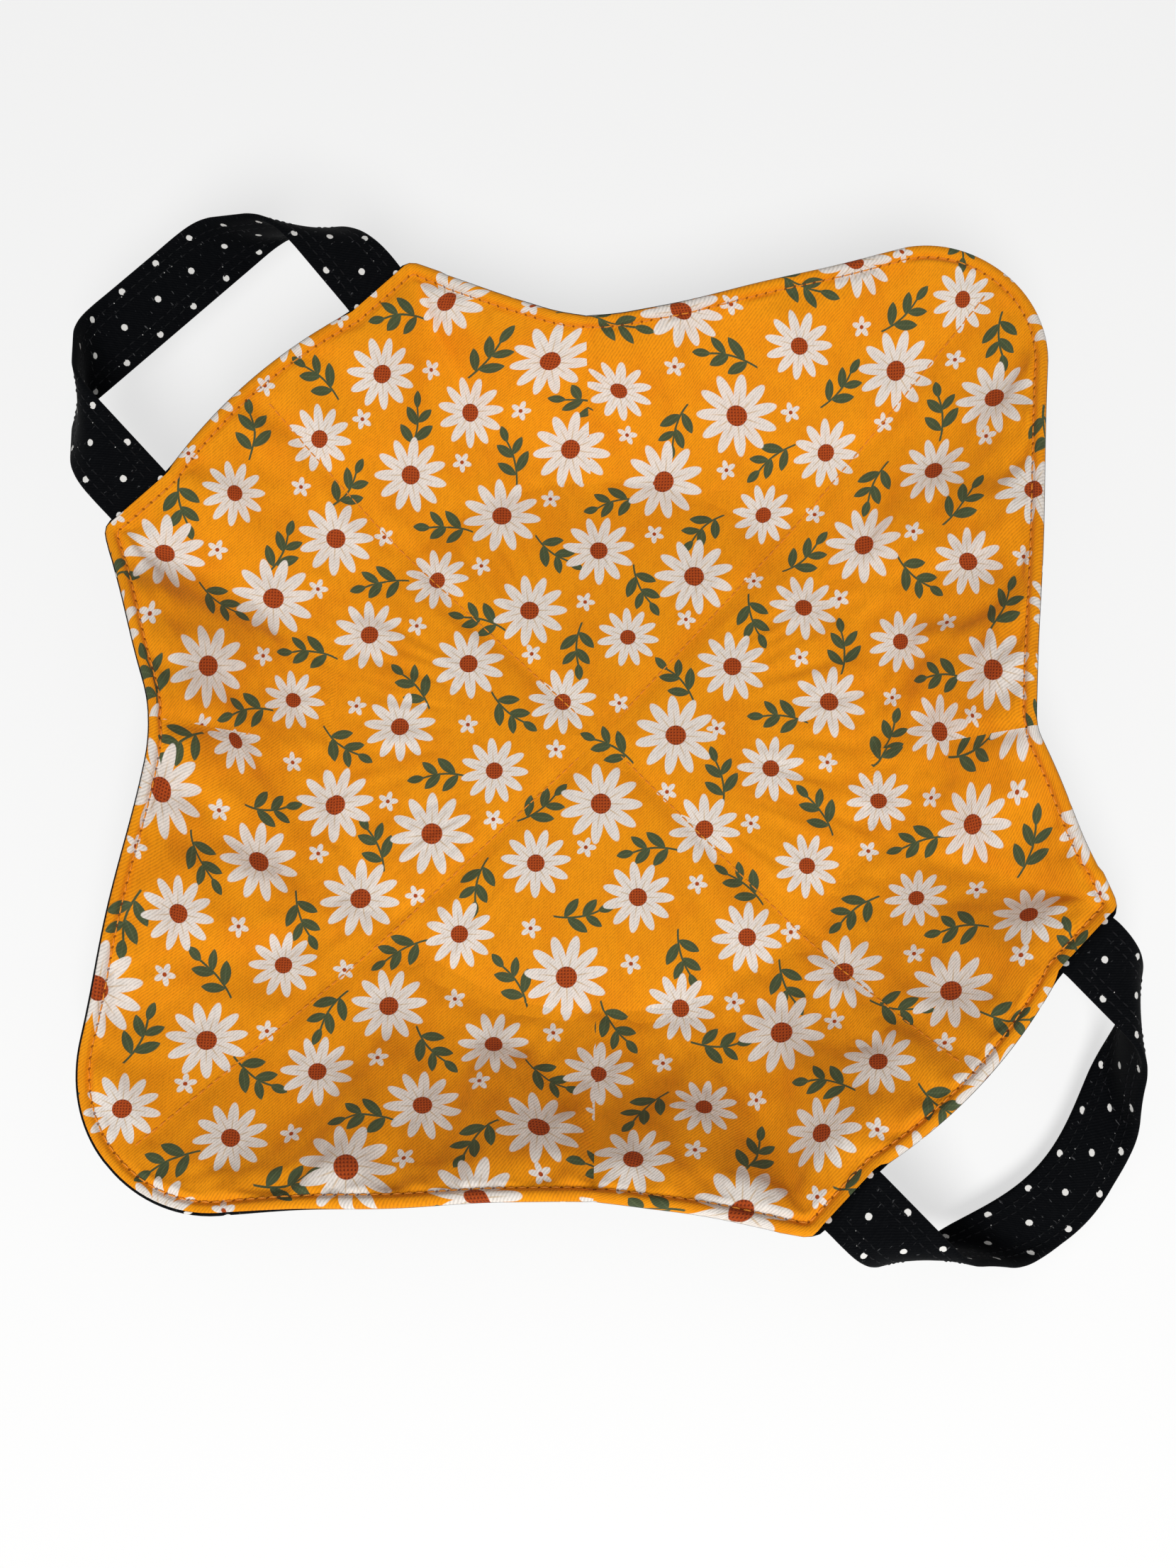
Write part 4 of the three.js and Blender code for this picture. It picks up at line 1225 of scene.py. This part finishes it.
def batting_material():
    """Cream fibres: fine noise for colour and bump on the object's own coordinates."""
    material, shader, tree = new_material("batting")
    place = tree.node("TexCoord", output=3)
    fibre = tree.node("TexNoise", inputs={"Vector": place, "Scale": FIBRE_SCALE, "Detail": 4.0})
    colour = mix(fibre.ramp(0.3, 0.7), CREAM_DARK, CREAM)
    finish_surface(shader, colour, 0.85 + fibre * 0.1, fibre, (0.5, 0.0004), {})
    return material


# each thread's first colour is painted light on the ply crowns, its second painted shade in the grooves
orange_thread = thread_material("orange_thread", srgb(246, 164, 44), srgb(210, 112, 14), 0.4)
black_thread = thread_material("black_thread", srgb(15, 16, 19), srgb(7, 7, 9), 0.1)
batting = batting_material()
print("threads and batting done")

# %% [markdown]
# ## Finishes and bodies
# Every piece gets its finish, the construction nodes that it stands for are hidden, and most pieces are
# attached to a body that they move with. The bowl's pieces move with the carrier, and a strap's stiffener with
# its handle. A strap crosses its hinge at the seam, where its shape eases from the wall's slope into the loop
# over a few millimetres, and neither the strap nor its stitching is attached to a body.

# %% Dress the pieces
FINISHES = {
    "printed_cotton": printed,
    "pin_dot_cotton": pin_dot,
    "batting": batting,
    "orange_thread": orange_thread,
    "black_thread": black_thread,
}
SEWN_ROWS = ("inner_edge", "inner", "outer", "outer_edge")
STITCHED = [f"{row}_{kind}" for row in SEWN_ROWS for kind in ("stitch", "bobbin")]


def dress(piece, slot, *nodes, finish=None):
    """Give a piece its finish and hide the construction nodes that it stands for."""
    piece.data.materials.append(finish or FINISHES[slot])
    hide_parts(*nodes)


dress(lining, "printed_cotton", "lining_panel")
dress(outer, "pin_dot_cotton", "outer_panel")
dress(lining_wadding, "batting", "lining_batting")
dress(outer_wadding, "batting", "outer_batting")
dress(edge_stitching, "orange_thread", "edge_topstitch")
dress(edge_bobbin_stitching, "black_thread", "edge_bobbin")
quilting = {"lining": (lining_quilting, "orange_thread"), "outer": (outer_quilting, "black_thread")}
for face, (piece, slot) in quilting.items():
    dress(piece, slot, f"{face}_quilting_between_handles", f"{face}_quilting_between_corners")
cottons = (lining, outer, lining_wadding, outer_wadding)
for piece in (*cottons, edge_stitching, edge_bobbin_stitching, lining_quilting, outer_quilting):
    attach(piece, "carrier")
for side, sign in (("left", -1), ("right", 1)):
    strap_nodes = [f"{side}_strap_{part}" for part in ("cover", "end_front", "end_back")]
    dress(straps[side], "pin_dot_cotton", *strap_nodes, finish=pin_dot_strap)
    dress(cores[side], "batting", f"{side}_strap_core")
    dress(strap_threads[side], "black_thread", *[f"{side}_strap_{row}" for row in STITCHED])
    for piece in (straps[side], strap_threads[side]):
        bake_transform(piece)
    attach(cores[side], f"{side}_handle")

print("pieces dressed")

# %% [markdown]
# ## Studio
# A plain pale floor, a broad soft lamp from the photograph's lower side and an even white world. The floor
# that the camera sees is partly white by itself, which keeps it pale and leaves the carrier a light shadow.
# Sizes here are in metres.

# %% Floor, lamp and world
FLOOR_HALF = 4.0
FLOOR_HEIGHT = -0.0002  # just below the cloth that rests on it
FLOOR_COLOUR = srgb(250, 250, 249)
FLOOR_ROUGHNESS = 0.9
FLOOR_WHITE = 0.65
LAMP_PLACE = np.array([0.66, -0.66, 1.3])
LAMP_SIZE = 0.8
LAMP_POWER = 20.5
WORLD_LEVEL = 0.26
WHITE = (1, 1, 1, 1)


def in_view(tree):
    """1 for what the camera sees, directly or in a glossy or clear surface, and 0 for light on the pieces."""
    camera_ray, glossy, clear = (
        tree.node("LightPath", output=f"Is {kind} Ray") for kind in ("Camera", "Glossy", "Transmission")
    )
    return camera_ray.math("MAXIMUM", glossy).math("MAXIMUM", clear)


floor_mesh = bpy.data.meshes.new("studio_floor")
corner = np.array([[-1, -1, 0], [1, -1, 0], [1, 1, 0], [-1, 1, 0]]) * FLOOR_HALF + [0, 0, FLOOR_HEIGHT]
floor_mesh.from_pydata(corner.tolist(), [], [(0, 1, 2, 3)])
floor = add_object("studio_floor", floor_mesh)
floor_material, floor_shader, floor_tree = new_material("pale_floor")
floor_shader.inputs["Base Color"].default_value = FLOOR_COLOUR
floor_shader.inputs["Roughness"].default_value = FLOOR_ROUGHNESS
share = in_view(floor_tree) * FLOOR_WHITE
white = floor_tree.node("Emission")
lit = Field(floor_tree.tree, floor_shader.outputs[0])
surface = floor_tree.node("MixShader", inputs={0: share, 1: lit, 2: white})
floor_tree.tree.links.new(surface.socket, floor_tree.tree.nodes["Material Output"].inputs["Surface"])
floor_mesh.materials.append(floor_material)

lamp_data = bpy.data.lights.new("soft_lamp", "AREA")
lamp_data.shape = "DISK"
lamp_data.size = LAMP_SIZE
lamp_data.energy = LAMP_POWER
lamp = add_object("soft_lamp", lamp_data)
lamp_back = unit(LAMP_PLACE)
lamp_right = unit(np.cross([0, 0, 1], lamp_back))
set_axes(lamp, lamp_right, np.cross(lamp_back, lamp_right), lamp_back, LAMP_PLACE)

world = bpy.data.worlds.new("studio_world")
world.use_nodes = True
sky = Field(world.node_tree)
lighting = sky.node("Background", inputs={"Color": WHITE, "Strength": WORLD_LEVEL})
backdrop = sky.node("Background", inputs={"Color": WHITE, "Strength": 1.0})
sky = sky.node("MixShader", inputs={0: in_view(sky), 1: lighting, 2: backdrop})
sky.tree.links.new(sky.socket, sky.tree.nodes["World Output"].inputs["Surface"])
bpy.context.scene.world = world
bpy.context.scene.view_settings.view_transform = "Standard"
